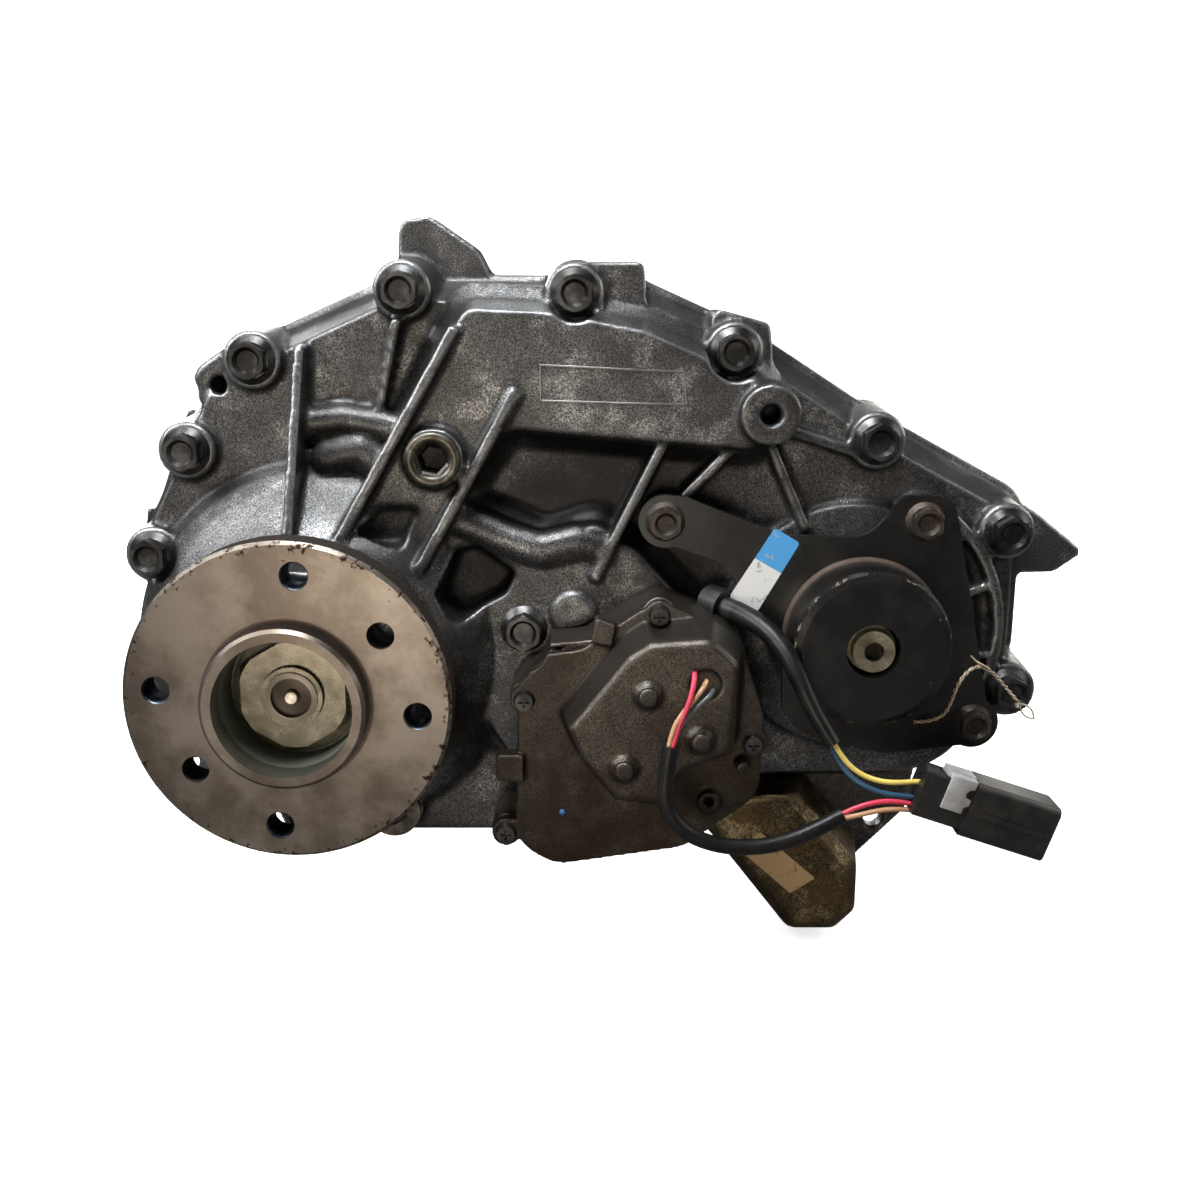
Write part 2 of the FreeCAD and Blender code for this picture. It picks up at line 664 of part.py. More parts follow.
def link_plate(p, q, y_a, y_b):
    """One inverted-tooth plate: its two toes point inwards and straddle a sprocket tooth."""
    mx, mz = (p[0] + q[0]) / 2.0, (p[1] + q[1]) / 2.0
    ux, uz = unit(q[0] - p[0], q[1] - p[1])
    nx, nz = uz, -ux
    shape = ((-7.6, LINK_OUT), (7.6, LINK_OUT), (8.3, 0.5), (6.0, -LINK_TOE), (3.4, -LINK_TOE),
             (1.9, -0.6), (-1.9, -0.6), (-3.4, -LINK_TOE), (-6.0, -LINK_TOE), (-8.3, 0.5))
    points = [V(mx + ux * a + nx * b, y_a, mz + uz * a + nz * b) for a, b in shape]
    return Part.Face(Part.makePolygon(points + points[:1])).extrude(V(0, y_b - y_a, 0))


def chain():
    """Silent chain: plates of neighbouring links lie side by side across its width."""
    pins = chain_pins()
    half = CHAIN_WIDTH / 2.0
    plates = []
    for k in range(len(pins)):
        p, q = pins[k], pins[(k + 1) % len(pins)]
        if k % 2 == 0:
            plates.append(link_plate(p, q, CHAIN_MID - 4.0, CHAIN_MID + 4.0))
        else:
            plates.append(link_plate(p, q, CHAIN_MID - half, CHAIN_MID - 4.0))
            plates.append(link_plate(p, q, CHAIN_MID + 4.0, CHAIN_MID + half))
    return Part.makeCompound(plates)


# Shafts, flanges, bearings and seals

def main_shaft():
    steps = ((PILOT_SHAFT_R, -44.0), (SHAFT_R, INPUT_END + 6.0), (SHAFT_R - 1.0, -126.0),
             (SHAFT_R, REAR_BEARING[0] + 2.0), (SPLINE_R, REAR_BEARING[1] - 4.0),
             (SHAFT_END_R, NUT_SEAT + 1.0))
    profile = [(0.0, steps[0][1])]
    for (r, y), following in zip(steps, steps[1:] + ((0.0, SHAFT_END),)):
        profile.append((r, y))
        profile.append((r, following[1]))
    profile.append((0.0, SHAFT_END))
    body = turned(profile)
    recess = ring(0, 0, SHAFT_END, SHAFT_END + 3.0, SHAFT_END_R - 2.5, 3.0)
    pin = rod(0, 0, SHAFT_END, SHAFT_END - 1.0, 2.0)
    return joined([body.cut(recess), pin])


def rear_flange():
    """Cup-shaped companion flange with a raised pilot ring and four tapped holes."""
    back = FLANGE_FACE + FLANGE_PLATE
    body = turned([
        (SPLINE_R + SEAT_GAP, REAR_SEAL[0] + 1.0), (HUB_R, REAR_SEAL[0] + 1.0), (HUB_R, back + 2.0),
        (HUB_R + 8.0, back), (FLANGE_R - 1.5, back), (FLANGE_R, back - 1.5),
        (FLANGE_R, FLANGE_FACE + 1.5), (FLANGE_R - 1.5, FLANGE_FACE), (PILOT_R, FLANGE_FACE),
        (PILOT_R, FLANGE_FACE - PILOT_PROUD + 1.5), (PILOT_R - 1.5, FLANGE_FACE - PILOT_PROUD),
        (PILOT_BORE_R, FLANGE_FACE - PILOT_PROUD), (PILOT_BORE_R, NUT_SEAT),
        (SPLINE_R + SEAT_GAP, NUT_SEAT)])
    holes = []
    for pcd, angles, r in ((FLANGE_PCD, FLANGE_BOLTS, FLANGE_BOLT_R), (PLAIN_PCD, PLAIN_HOLES, PLAIN_HOLE_R)):
        for angle in angles:
            x = pcd / 2.0 * math.cos(math.radians(angle))
            z = pcd / 2.0 * math.sin(math.radians(angle))
            holes.append(rod(x, z, FLANGE_FACE, back, r))
    return body.cut(holes)


def flange_nut():
    body = hexagon(0, 0, NUT_SEAT - 3.0, NUT_SEAT - NUT_THICK, NUT_AF)
    washer = rod(0, 0, NUT_SEAT, NUT_SEAT - 3.0, PILOT_BORE_R - 1.2)
    collar = rod(0, 0, NUT_SEAT - NUT_THICK, NUT_SEAT - NUT_THICK - 3.0, SHAFT_END_R + 2.0)
    edge = Part.makeCone(NUT_AF / 2 + 9.0, NUT_AF / 2 + 1.0, 8.0, V(0, NUT_SEAT - 3.0, 0), V(0, -1, 0))
    bore = rod(0, 0, NUT_SEAT, NUT_SEAT - NUT_THICK - 3.0, SHAFT_END_R + SEAT_GAP)
    return joined([washer, body.common(edge), collar]).cut(bore)


def bearing(x, z, stations, r_out, r_in, balls):
    """Deep-groove ball bearing: the outer race with its balls, and the inner race."""
    y_a, y_b = stations
    middle = (y_a + y_b) / 2.0
    wall = (r_out - r_in) * 0.28
    ball_r = (r_out - r_in) * 0.27
    path = (r_out + r_in) / 2.0
    track = Part.makeTorus(path, ball_r + 0.15, V(x, middle, z), FORWARD)
    outer = ring(x, z, y_a, y_b, r_out, r_out - wall).cut(track)
    inner = ring(x, z, y_a, y_b, r_in + wall, r_in).cut(track)
    spheres = []
    for k in range(balls):
        angle = 2 * math.pi * k / balls
        spheres.append(Part.makeSphere(ball_r, V(x + path * math.cos(angle), middle,
                                                 z + path * math.sin(angle))))
    return Part.makeCompound([outer] + spheres), inner


def seal(x, z, stations, r_out, r_in):
    """Lip seal: a cased ring that is open to the inside behind its lip."""
    y_a, y_b = stations
    wall = 1.6
    return turned([(r_out, y_a), (r_out, y_b), (r_in + 2.0, y_b), (r_in, y_b + (y_a - y_b) * 0.35),
                   (r_in, y_b + (y_a - y_b) * 0.6), (r_in + wall, y_b + (y_a - y_b) * 0.45),
                   (r_out - wall, y_b + (y_a - y_b) * 0.3), (r_out - wall, y_a)], x, z)


def front_shaft():
    x, z = FRONT_X, FRONT_Z
    return joined([
        rod(x, z, TAIL_BEARING[1], CHAIN_MID - CHAIN_WIDTH / 2, FRONT_SHAFT_R - 3.0),
        rod(x, z, CHAIN_MID - CHAIN_WIDTH / 2, FRONT_BEARING[1] - 4.0, FRONT_SHAFT_R),
        rod(x, z, FRONT_BEARING[1], FRONT_BEARING[1] - 22.0, FRONT_SHAFT_R + 3.0),
        rod(x, z, FRONT_BEARING[1], FRONT_SEAL[1] - 6.0, FRONT_SHAFT_R),
        rod(x, z, FRONT_SEAL[1] - 6.0, FRONT_FLANGE_FACE - 9.0, FRONT_SHAFT_R - 3.0),
        rod(x, z, FRONT_FLANGE_FACE - 9.0, FRONT_FLANGE_FACE - 1.0, FRONT_SHAFT_R - 6.0)])


def front_flange():
    x, z = FRONT_X, FRONT_Z
    back = FRONT_FLANGE_FACE - FRONT_FLANGE_PLATE
    proud = FRONT_FLANGE_FACE + FRONT_PILOT_PROUD
    inside = FRONT_FLANGE_FACE - 9.0
    bore = FRONT_SHAFT_R - 3.0 + SEAT_GAP
    body = turned([
        (bore, FRONT_SEAL[1] - 5.0), (FRONT_HUB_R, FRONT_SEAL[1] - 5.0), (FRONT_HUB_R, back - 3.0),
        (FRONT_HUB_R + 4.0, back), (FRONT_FLANGE_R, back), (FRONT_FLANGE_R, FRONT_FLANGE_FACE),
        (FRONT_PILOT_R, FRONT_FLANGE_FACE), (FRONT_PILOT_R, proud), (FRONT_PILOT_R - 4.0, proud),
        (FRONT_PILOT_R - 4.0, inside), (bore, inside)], x, z)
    holes = []
    for k in range(FRONT_BOLTS):
        angle = 2 * math.pi * (k + 0.5) / FRONT_BOLTS
        holes.append(rod(x + FRONT_FLANGE_PCD / 2 * math.cos(angle), z + FRONT_FLANGE_PCD / 2 * math.sin(angle),
                         back, FRONT_FLANGE_FACE, FRONT_FLANGE_BOLT_R))
    return body.cut(holes)


def front_flange_nut():
    x, z = FRONT_X, FRONT_Z
    seat = FRONT_FLANGE_FACE - 9.0
    bore = rod(x, z, seat, seat + 8.0, FRONT_SHAFT_R - 6.0 + SEAT_GAP)
    return hexagon(x, z, seat, seat + 8.0, 30.0).cut(bore)


# Case halves

def chain_room(y_a, y_b):
    room = PITCH_R + LINK_OUT + CHAIN_ROOM
    return bar((0, 0), (FRONT_X, FRONT_Z), y_a, y_b, room)


BAND_OUTLINE = (
    (-2.0, 38.0, 6.0),
    (30.0, 22.0, 6.0),
    (88.0, 102.0, 10.0),
    (206.0, 92.0, 12.0),
    (206.0, 128.0, 14.0),
    (150.0, 152.0, 16.0),
    (108.0, 160.0, 12.0),
    (68.0, 162.0, 12.0),
)
DUCT_OUTLINE = (
    (56.0, -8.0, 10.0),
    (96.0, -70.0, 20.0),
    (176.0, -70.0, 24.0),
    (196.0, 0.0, 30.0),
    (150.0, 50.0, 16.0),
    (128.0, 66.0, 14.0),
    (104.0, 58.0, 12.0),
    (60.0, 78.0, 8.0),
    (52.0, 66.0, 8.0),
)
TOP_EAR = ((34.0, 158.0, 4.0), (84.0, 160.0, 4.0), (72.0, 184.0, 7.0), (50.0, 199.0, 5.0), (36.0, 197.0, 6.0))
SQUARE_PAD = ((118.0, 150.0, 3.0), (150.0, 150.0, 3.0), (149.0, 178.0, 4.0), (118.0, 178.0, 3.0))
SIDE_EAR = ((316.0, 30.0, 8.0), (352.0, 31.0, 5.0), (366.0, 41.0, 3.0), (342.0, 60.0, 8.0), (322.0, 72.0, 8.0))
STEP_EAR = ((176.0, 126.0, 4.0), (208.0, 126.0, 4.0), (206.0, 151.0, 4.0), (180.0, 158.0, 4.0))
SKIRT = 5.0
DUCT_DISC = (116.9, 19.9)
DUCT_DISC_R = 10.0
DUCT_POCKET = (
    (54.2, 27.4, 4.0),
    (65.1, 17.9, 4.0),
    (86.0, 29.0, 3.0),
    (91.3, 39.7, 4.0),
    (73.2, 52.3, 4.0),
    (62.7, 50.9, 4.0),
)
TROUGH_POCKET = ((15.3, 53.0, 4.0), (40.3, 53.0, 4.0), (51.0, 72.0, 4.0), (28.4, 72.0, 4.0))

# Rounded swells of the casting: points and radius
SWELLS = (
    (((60.0, -140.0, 64.4), (83.4, -141.0, 55.0), (101.6, -142.0, 49.0), (118.0, -142.0, 53.0),
      (131.0, -140.0, 50.0), (138.0, -137.0, 46.0)), 9.0),
    (((-3.0, -138.0, 107.0), (12.0, -138.5, 109.0), (36.0, -138.5, 105.0)), 7.0),
    (((6.0, -138.0, 92.0), (20.0, -138.5, 95.0), (30.0, -138.5, 87.0)), 9.0),
)
DOME = ((90.0, -128.0), (90.0, -134.0), (86.0, -141.0), (79.5, -147.0), (68.0, -155.0), (59.0, -163.0),
        (53.0, -172.0), (50.0, -182.0), (50.0, SNOUT_END))
FRONT_DOME_R = 62.0
FRONT_DOME_TOP = -143.0


def swell(points, r):
    """A rounded ridge through a row of points."""
    route = [V(*p) for p in points]
    forms = [Part.makeSphere(r, p) for p in route]
    for start, end in zip(route, route[1:]):
        along = end.sub(start)
        forms.append(Part.makeCylinder(r, along.Length, start, along))
    return joined(forms)


def scallops(y_a, y_b):
    return [rod(x, z, y_a, y_b, r) for x, z, r in SCALLOPS]


def bolt_seats():
    """Place of each case bolt with the station of its seat."""
    seats = [(x, z, BOLT_SEAT) for x, z in CASE_BOLTS[:-1]]
    seats.append(CASE_BOLTS[-1] + (DUCT_TOP,))
    return seats + [(x, z, LOW_SEAT) for x, z in LOW_BOLTS]


def rear_case_outside():
    flange = slab(CASE_OUTLINE, SPLIT, SPLIT - FLANGE_THICK)
    wall = draft(CASE_OUTLINE, SPLIT - FLANGE_THICK, COVER_FLOOR, 3.0, 12.0)
    forms = [flange, wall]
    forms.append(draft(BAND_OUTLINE, COVER_FLOOR + 2.0, BAND_TOP, -3.0, 4.0))
    forms.append(draft(BAND_OUTLINE, COVER_FLOOR + 2.0, COVER_FLOOR - SKIRT, -SKIRT - 3.0, -1.0))
    forms.append(draft(DUCT_OUTLINE, COVER_FLOOR + 2.0, DUCT_TOP, -2.0, 4.0))
    forms.append(draft(DUCT_OUTLINE, COVER_FLOOR + 2.0, COVER_FLOOR - SKIRT, -SKIRT - 2.0, -1.0))
    disc = rod(DUCT_DISC[0], DUCT_DISC[1], DUCT_TOP + 2.0, DUCT_TOP - 2.5, DUCT_DISC_R)
    forms.append(disc.cut(slab(ACTUATOR_OUTLINE, DUCT_TOP, ACTUATOR_SPLIT, -FREE_GAP)))
    forms += [swell(points, r) for points, r in SWELLS]
    forms.append(turned([(0.0, DOME[0][1])] + list(DOME) + [(0.0, SNOUT_END)]))
    forms.append(turned([(0.0, COVER_FLOOR + 2), (FRONT_DOME_R, COVER_FLOOR + 2), (FRONT_DOME_R - 4, -138.0),
                         (40.0, FRONT_DOME_TOP), (36.0, -148.0), (0.0, -148.0)], FRONT_X, FRONT_Z))
    for ear in (TOP_EAR, SIDE_EAR):
        forms.append(slab(ear, SPLIT, SPLIT - FLANGE_THICK))
    for pad in (SQUARE_PAD, STEP_EAR):
        forms.append(slab(pad, SPLIT, BOLT_SEAT + 6.0))
    for x, z in CASE_BOLTS:
        forms.append(Part.makeCone(BOSS_R + 2.5, BOSS_R, SPLIT - BOLT_SEAT, V(x, SPLIT, z), V(0, -1, 0)))
    for x, z in LOW_BOLTS:
        forms.append(rod(x, z, SPLIT, LOW_SEAT, BOSS_R))
    forms.append(rod(FILL_PLUG[0], FILL_PLUG[1], COVER_FLOOR, PLUG_SEAT, PLUG_R + 1.0))
    forms.append(rod(DRAIN_PLUG[0], DRAIN_PLUG[1], COVER_FLOOR + 10.0, DRAIN_SEAT, PLUG_R + 1.0))
    forms.append(rod(BLIND_BOSS[0], BLIND_BOSS[1], SPLIT - 4, BLIND_TOP, BLIND_BOSS_R))
    forms.append(bar(OPEN_LUG, CASE_BOLTS[2], SPLIT, BOLT_SEAT + 8.0, OPEN_LUG_R))
    for x, z in BRACKET_LUGS:
        forms.append(rod(x, z, COVER_FLOOR + 2.0, PLATE_BACK, BRACKET_LUG_R - 2.0))
    return forms


RIBS = (
    ((-4.0, 142.0), (-9.0, 58.0), -148.0, -170.0, 4.5),
    ((40.0, 156.0), (27.0, 104.0), -150.0, -141.0, 4.0),
    ((66.0, 150.0), (4.0, 42.0), -158.0, -166.0, 5.0),
    ((92.0, 122.0), (38.0, 26.0), -154.0, -162.0, 5.0),
    ((159.0, 102.0), (126.0, 36.0), -150.0, -150.0, 4.5),
    ((192.0, 100.0), (164.0, 70.0), -148.0, -144.0, 4.5),
    ((206.0, 98.0), (224.0, 58.0), -146.0, -142.0, 4.5),
    ((215.0, 104.0), (252.0, 92.0), -146.0, -140.0, 5.0),
)
ARC_RIB_R = 66.0
ARC_RIB_THICK = 5.0
SPOKES = (-38.0, -12.0, 18.0, 42.0)


def rear_case_ribs():
    ribs = [rib(p, q, COVER_FLOOR + 3.0, a, b, thick) for p, q, a, b, thick in RIBS]
    rim = ring(FRONT_X, FRONT_Z, COVER_FLOOR + 3.0, -142.0, ARC_RIB_R + ARC_RIB_THICK, ARC_RIB_R)
    keep = Part.makeBox(120.0, 40.0, 120.0, V(FRONT_X + 20.0, -160.0, FRONT_Z - 60.0))
    ribs.append(rim.common(keep))
    for angle in SPOKES:
        c, s = math.cos(math.radians(angle)), math.sin(math.radians(angle))
        inner = (FRONT_X + 40 * c, FRONT_Z + 40 * s)
        outer = (FRONT_X + (ARC_RIB_R + 2) * c, FRONT_Z + (ARC_RIB_R + 2) * s)
        ribs.append(rib(inner, outer, COVER_FLOOR + 3.0, -144.0, -141.0, 4.0))
    return ribs


def rear_case():
    """Rear half: chain cover, bearing dome and seal snout, hollow behind every raised form."""
    solid = joined(rear_case_outside() + rear_case_ribs())
    floor = COVER_FLOOR + COVER_WALL
    hollows = [
        chain_room(SPLIT, floor),
        slab(BAND_OUTLINE, SPLIT - 20.0, BAND_TOP + COVER_WALL, 9.0),
        rod(0, 0, SPLIT, -142.0, 46.0),
        rod(0, 0, -142.0, REAR_BEARING[1], 40.0 + SEAT_GAP),
        rod(0, 0, REAR_BEARING[1], REAR_SEAL[0], HUB_R + 3.0),
        rod(0, 0, REAR_SEAL[0], SNOUT_END, 42.0 + SEAT_GAP),
        rod(FRONT_X, FRONT_Z, SPLIT, TAIL_BEARING[1], 28.0 + SEAT_GAP),
        bar((0.0, -50.0), DRAIN_PLUG, SPLIT, floor, 9.0),
    ]
    columns = [rod(CASE_BOLTS[-1][0], CASE_BOLTS[-1][1], SPLIT, floor - 1, BOSS_R - 1.0),
               rod(RAIL[0], RAIL[1], floor - 1, floor + 6.0, RAIL_R + 5.0),
               rod(CAM[0], CAM[1], floor - 1, floor + 6.0, CAM_SHAFT_R + 5.0)]
    body = joined([solid.cut(hollows)] + columns)
    holes = [rod(x, z, SPLIT, BOLT_SEAT - 30.0, BOLT_R + BOLT_GAP) for x, z in CASE_BOLTS]
    for x, z in LOW_BOLTS:
        holes.append(rod(x, z, SPLIT, LOW_SEAT, BOLT_R + BOLT_GAP))
    for x, z, seat in bolt_seats():
        holes.append(rod(x, z, seat, seat - SPOT_FACE_REACH, BOLT_WASHER_R + SPOT_FACE_GAP))
    holes.append(rod(DRAIN_PLUG[0], DRAIN_PLUG[1], DRAIN_SEAT, DRAIN_SEAT - SPOT_FACE_REACH,
                     PLUG_R + SPOT_FACE_GAP))
    for x, z in DOWELS:
        holes.append(rod(x, z, SPLIT, SPLIT - DOWEL_HALF, DOWEL_R + SEAT_GAP))
    holes.append(rod(DRAIN_PLUG[0], DRAIN_PLUG[1], floor, DRAIN_SEAT, 9.0 + SEAT_GAP))
    holes.append(rod(RAIL[0], RAIL[1], floor + 6.0, floor, RAIL_R + SEAT_GAP))
    holes.append(rod(CAM[0], CAM[1], floor + 6.0, DUCT_TOP - 1.0, CAM_SHAFT_R + RUN_GAP))
    holes.append(rod(FILL_PLUG[0], FILL_PLUG[1], BAND_TOP + COVER_WALL, PLUG_SEAT, 9.0 + SEAT_GAP))
    holes.append(rod(BLIND_BOSS[0], BLIND_BOSS[1], BLIND_TOP, BLIND_TOP + BLIND_DEEP, BLIND_HOLE_R))
    holes.append(rod(OPEN_LUG[0], OPEN_LUG[1], SPLIT, BOLT_SEAT, OPEN_HOLE_R))
    for x, z in BRACKET_LUGS:
        holes.append(rod(x, z, PLATE_BACK, PLATE_BACK + 16.0, BRACKET_BOLT_R + SEAT_GAP))
    holes.append(draft(TROUGH_POCKET, BAND_TOP - 6.0, BAND_TOP + 2.5, -1.0, 2.0))
    holes.append(draft(DUCT_POCKET, DUCT_TOP - 12.0, COVER_FLOOR - 1.0, -1.5, 2.0))
    return body.cut(holes + scallops(SPLIT, BOLT_SEAT - 5.0))


ADAPTER_BOLTS = 6
ADAPTER_PCD = 172.0
ADAPTER_HOLE_R = 5.5


def front_case():
    """Front half: planetary barrel, gearbox adapter flange and front output snout."""
    flange = slab(CASE_OUTLINE, SPLIT, SPLIT + FLANGE_THICK)
    wall = draft(CASE_OUTLINE, SPLIT + FLANGE_THICK, FRONT_FLOOR, 3.0, 14.0)
    forms = [flange, wall]
    forms.append(turned([(0.0, FRONT_FLOOR - 2), (BARREL_R + 6, FRONT_FLOOR - 2), (BARREL_R, -44.0),
                         (BARREL_R, BARREL_END - 4.0), (ADAPTER_R, BARREL_END), (ADAPTER_R, 0.0), (0.0, 0.0)]))
    forms.append(turned([(0.0, FRONT_FLOOR - 2), (FRONT_SNOUT_R + 10, FRONT_FLOOR - 2),
                         (FRONT_SNOUT_R, FRONT_FLOOR + 6), (FRONT_SNOUT_R, FRONT_SNOUT_END),
                         (0.0, FRONT_SNOUT_END)], FRONT_X, FRONT_Z))
    for ear in (TOP_EAR, SIDE_EAR, FOOT_EAR):
        forms.append(slab(ear, SPLIT, SPLIT + FLANGE_THICK))
    for x, z in CASE_BOLTS + LOW_BOLTS:
        forms.append(Part.makeCone(BOSS_R + 2.0, BOSS_R - 2.0, BOLT_GRIP + 4.0, V(x, SPLIT, z), FORWARD))
    for angle in range(30, 390, 60):
        c, s = math.cos(math.radians(angle)), math.sin(math.radians(angle))
        forms.append(rib((60 * c, 60 * s), (88 * c, 88 * s), FRONT_FLOOR, BARREL_END, BARREL_END, 5.0))
    for angle in (80, 140, 200, 260, 320, 20):
        c, s = math.cos(math.radians(angle)), math.sin(math.radians(angle))
        inner = (FRONT_X + 38 * c, FRONT_Z + 38 * s)
        outer = (FRONT_X + 68 * c, FRONT_Z + 68 * s)
        forms.append(rib(inner, outer, FRONT_FLOOR - 2, FRONT_SNOUT_END - 4, FRONT_FLOOR + 2, 5.0))
    solid = joined(forms)
    inner_floor = FRONT_FLOOR - COVER_WALL
    hollows = [
        draft(CASE_OUTLINE, SPLIT, inner_floor, 17.0, 22.0),
        rod(0, 0, SPLIT, GEAR_FRONT + RING_OVER, RING_OUT_R + SEAT_GAP),
        rod(0, 0, SPLIT, GEAR_FRONT + 8.0, 60.0),
        rod(0, 0, GEAR_FRONT + 8.0, 0.0, 31.0 + SEAT_GAP),
        rod(0, 0, -SPIGOT_DEEP, 0.0, SPIGOT_R),
        rod(FRONT_X, FRONT_Z, SPLIT, FRONT_SNOUT_END, 34.0 + SEAT_GAP),
    ]
    carried = [
        rod(CASE_BOLTS[-1][0], CASE_BOLTS[-1][1], SPLIT, inner_floor + 1, BOSS_R - 1.0),
        rod(RAIL[0], RAIL[1], inner_floor - 6.0, inner_floor + 1, RAIL_R + 5.0),
        rod(CAM[0], CAM[1], inner_floor - 6.0, inner_floor + 1, CAM_SHAFT_R + 5.0),
        ring(FRONT_X, FRONT_Z, FRONT_BEARING[1], inner_floor + 1, 41.0, 34.0 + SEAT_GAP),
    ]
    body = joined([solid.cut(hollows)] + carried)
    holes = [rod(x, z, SPLIT, SPLIT + BOLT_GRIP, BOLT_R + SEAT_GAP) for x, z in CASE_BOLTS + LOW_BOLTS]
    for x, z in DOWELS:
        holes.append(rod(x, z, SPLIT, SPLIT + DOWEL_HALF, DOWEL_R + SEAT_GAP))
    for x, z in FOOT_BOLTS:
        holes.append(rod(x, z, SPLIT, SPLIT + FLANGE_THICK, FOOT_BOLT_R + BOLT_GAP))
        holes.append(rod(x, z, SPLIT + FLANGE_THICK, SPLIT + 40.0, 14.0))
    holes.append(rod(EAR_HOLE[0], EAR_HOLE[1], SPLIT, SPLIT + FLANGE_THICK, EAR_HOLE_R))
    holes.append(rod(BREATHER[0], BREATHER[1], inner_floor, FRONT_FLOOR, BREATHER_R + SEAT_GAP))
    for k in range(ADAPTER_BOLTS):
        angle = math.radians(360.0 / ADAPTER_BOLTS * k)
        x, z = ADAPTER_PCD / 2 * math.cos(angle), ADAPTER_PCD / 2 * math.sin(angle)
        holes.append(rod(x, z, BARREL_END - 4.0, 0.0, ADAPTER_HOLE_R))
        holes.append(rod(x, z, BARREL_END - 30.0, BARREL_END, 11.0))
    holes.append(rod(RAIL[0], RAIL[1], inner_floor - 6.0, inner_floor, RAIL_R + SEAT_GAP))
    holes.append(rod(CAM[0], CAM[1], inner_floor - 6.0, inner_floor, CAM_SHAFT_R + RUN_GAP))
    return body.cut(holes + scallops(SPLIT, SPLIT + FLANGE_THICK))


def flange_bolt(x, z, seat, r, flats, head, washer_r, reach):
    """Hexagon flange bolt along Y with a dished head."""
    washer = Part.makeCone(washer_r, flats / 2 + 0.6, 2.5, V(x, seat, z), V(0, -1, 0))
    block = hexagon(x, z, seat, seat - head, flats)
    dish = Part.makeCone(flats / 2 - 1.4, flats / 2 - 3.0, 2.4, V(x, seat - head, z), FORWARD)
    edge = Part.makeCone(flats / 2 + 6.0, flats / 2 + 0.5, head, V(x, seat, z), V(0, -1, 0))
    shank = rod(x, z, seat, reach, r)
    return joined([washer, block.common(edge).cut(dish), shank])


def case_bolts():
    reach = SPLIT + BOLT_GRIP - 2.0
    return Part.makeCompound([
        flange_bolt(x, z, seat, BOLT_R, BOLT_AF, BOLT_HEAD, BOLT_WASHER_R, reach)
        for x, z, seat in bolt_seats()])


def screw_plug(place, seat, end):
    """Round plug with a hexagon socket."""
    x, z = place
    head = rod(x, z, seat, seat - 5.0, PLUG_R)
    stem = rod(x, z, seat, end, 9.0)
    socket = hexagon(x, z, seat - 5.0, seat + 3.0, 12.0)
    return joined([head, stem]).cut(socket)


def fill_plug():
    return screw_plug(FILL_PLUG, PLUG_SEAT, BAND_TOP + COVER_WALL)


def drain_plug():
    return screw_plug(DRAIN_PLUG, DRAIN_SEAT, COVER_FLOOR + COVER_WALL)


def dowel_pins():
    return Part.makeCompound([
        rod(x, z, SPLIT - DOWEL_HALF + 0.5, SPLIT + DOWEL_HALF - 0.5, DOWEL_R) for x, z in DOWELS])


def breather():
    """Vent on the front half: a stem under a loose cap."""
    x, z = BREATHER
    stem = rod(x, z, FRONT_FLOOR - COVER_WALL, FRONT_FLOOR + 8.0, BREATHER_R)
    collar = hexagon(x, z, FRONT_FLOOR, FRONT_FLOOR + 4.0, 14.0)
    cap = rod(x, z, FRONT_FLOOR + 8.0, FRONT_FLOOR + 16.0, 7.5)
    return joined([stem, collar, cap])


def oil_pump():
    """Housing of the pump that the main shaft drives, with its suction port at the bottom."""
    body = ring(0, 0, PUMP[0], PUMP[1], PUMP_R - SEAT_GAP, SHAFT_R - 1.0 + RUN_GAP)
    port = rod(0.0, -34.0, PUMP[0], PUMP[0] - 8.0, 5.0)
    return body.cut(port)


def foot_bolts():
    bolts = []
    for x, z in FOOT_BOLTS:
        seat = SPLIT + FLANGE_THICK
        washer = rod(x, z, seat, seat + 2.5, 12.5)
        head = hexagon(x, z, seat, seat + 10.0, 18.0)
        bolts.append(joined([washer, head, rod(x, z, seat, SPLIT - 24.0, FOOT_BOLT_R)]))
    return Part.makeCompound(bolts)


# Vibration damper and its bracket

def damper_bracket():
    plate = slab(BRACKET_OUTLINE, PLATE_BACK, PLATE_BACK - PLATE_THICK)
    lugs = [rod(x, z, PLATE_BACK, PLATE_BACK - PLATE_THICK, BRACKET_LUG_R) for x, z in BRACKET_LUGS]
    body = joined([plate] + lugs)
    holes = []
    for x, z in BRACKET_LUGS:
        holes.append(rod(x, z, PLATE_BACK, PLATE_BACK - PLATE_THICK, BRACKET_BOLT_R + BOLT_GAP))
    post = rod(DAMPER[0], DAMPER[1], PLATE_BACK - PLATE_THICK, DAMPER_FRONT + 9.0, 8.0)
    tapped = rod(DAMPER[0], DAMPER[1], PLATE_BACK, DAMPER_FRONT + 9.0, BRACKET_BOLT_R + SEAT_GAP)
    return joined([body.cut(holes), post]).cut(tapped)


def damper_rubber():
    """Rubber ring between the plate and the weight."""
    x, z = DAMPER
    return ring(x, z, PLATE_BACK - PLATE_THICK, PLATE_BACK - PLATE_THICK - 3.0, DAMPER_R + 1.5, 20.0)


def damper_mass():
    """Pressed cup that hangs on rubber and swings against the vibration."""
    x, z = DAMPER
    back = PLATE_BACK - PLATE_THICK - 3.0 - 0.3
    return turned([
        (12.0, back), (DAMPER_R, back), (DAMPER_R, DAMPER_FRONT + 4.0), (DAMPER_R - 1.2, DAMPER_FRONT + 1.2),
        (DAMPER_R - 4.0, DAMPER_FRONT), (12.0, DAMPER_FRONT)], x, z)


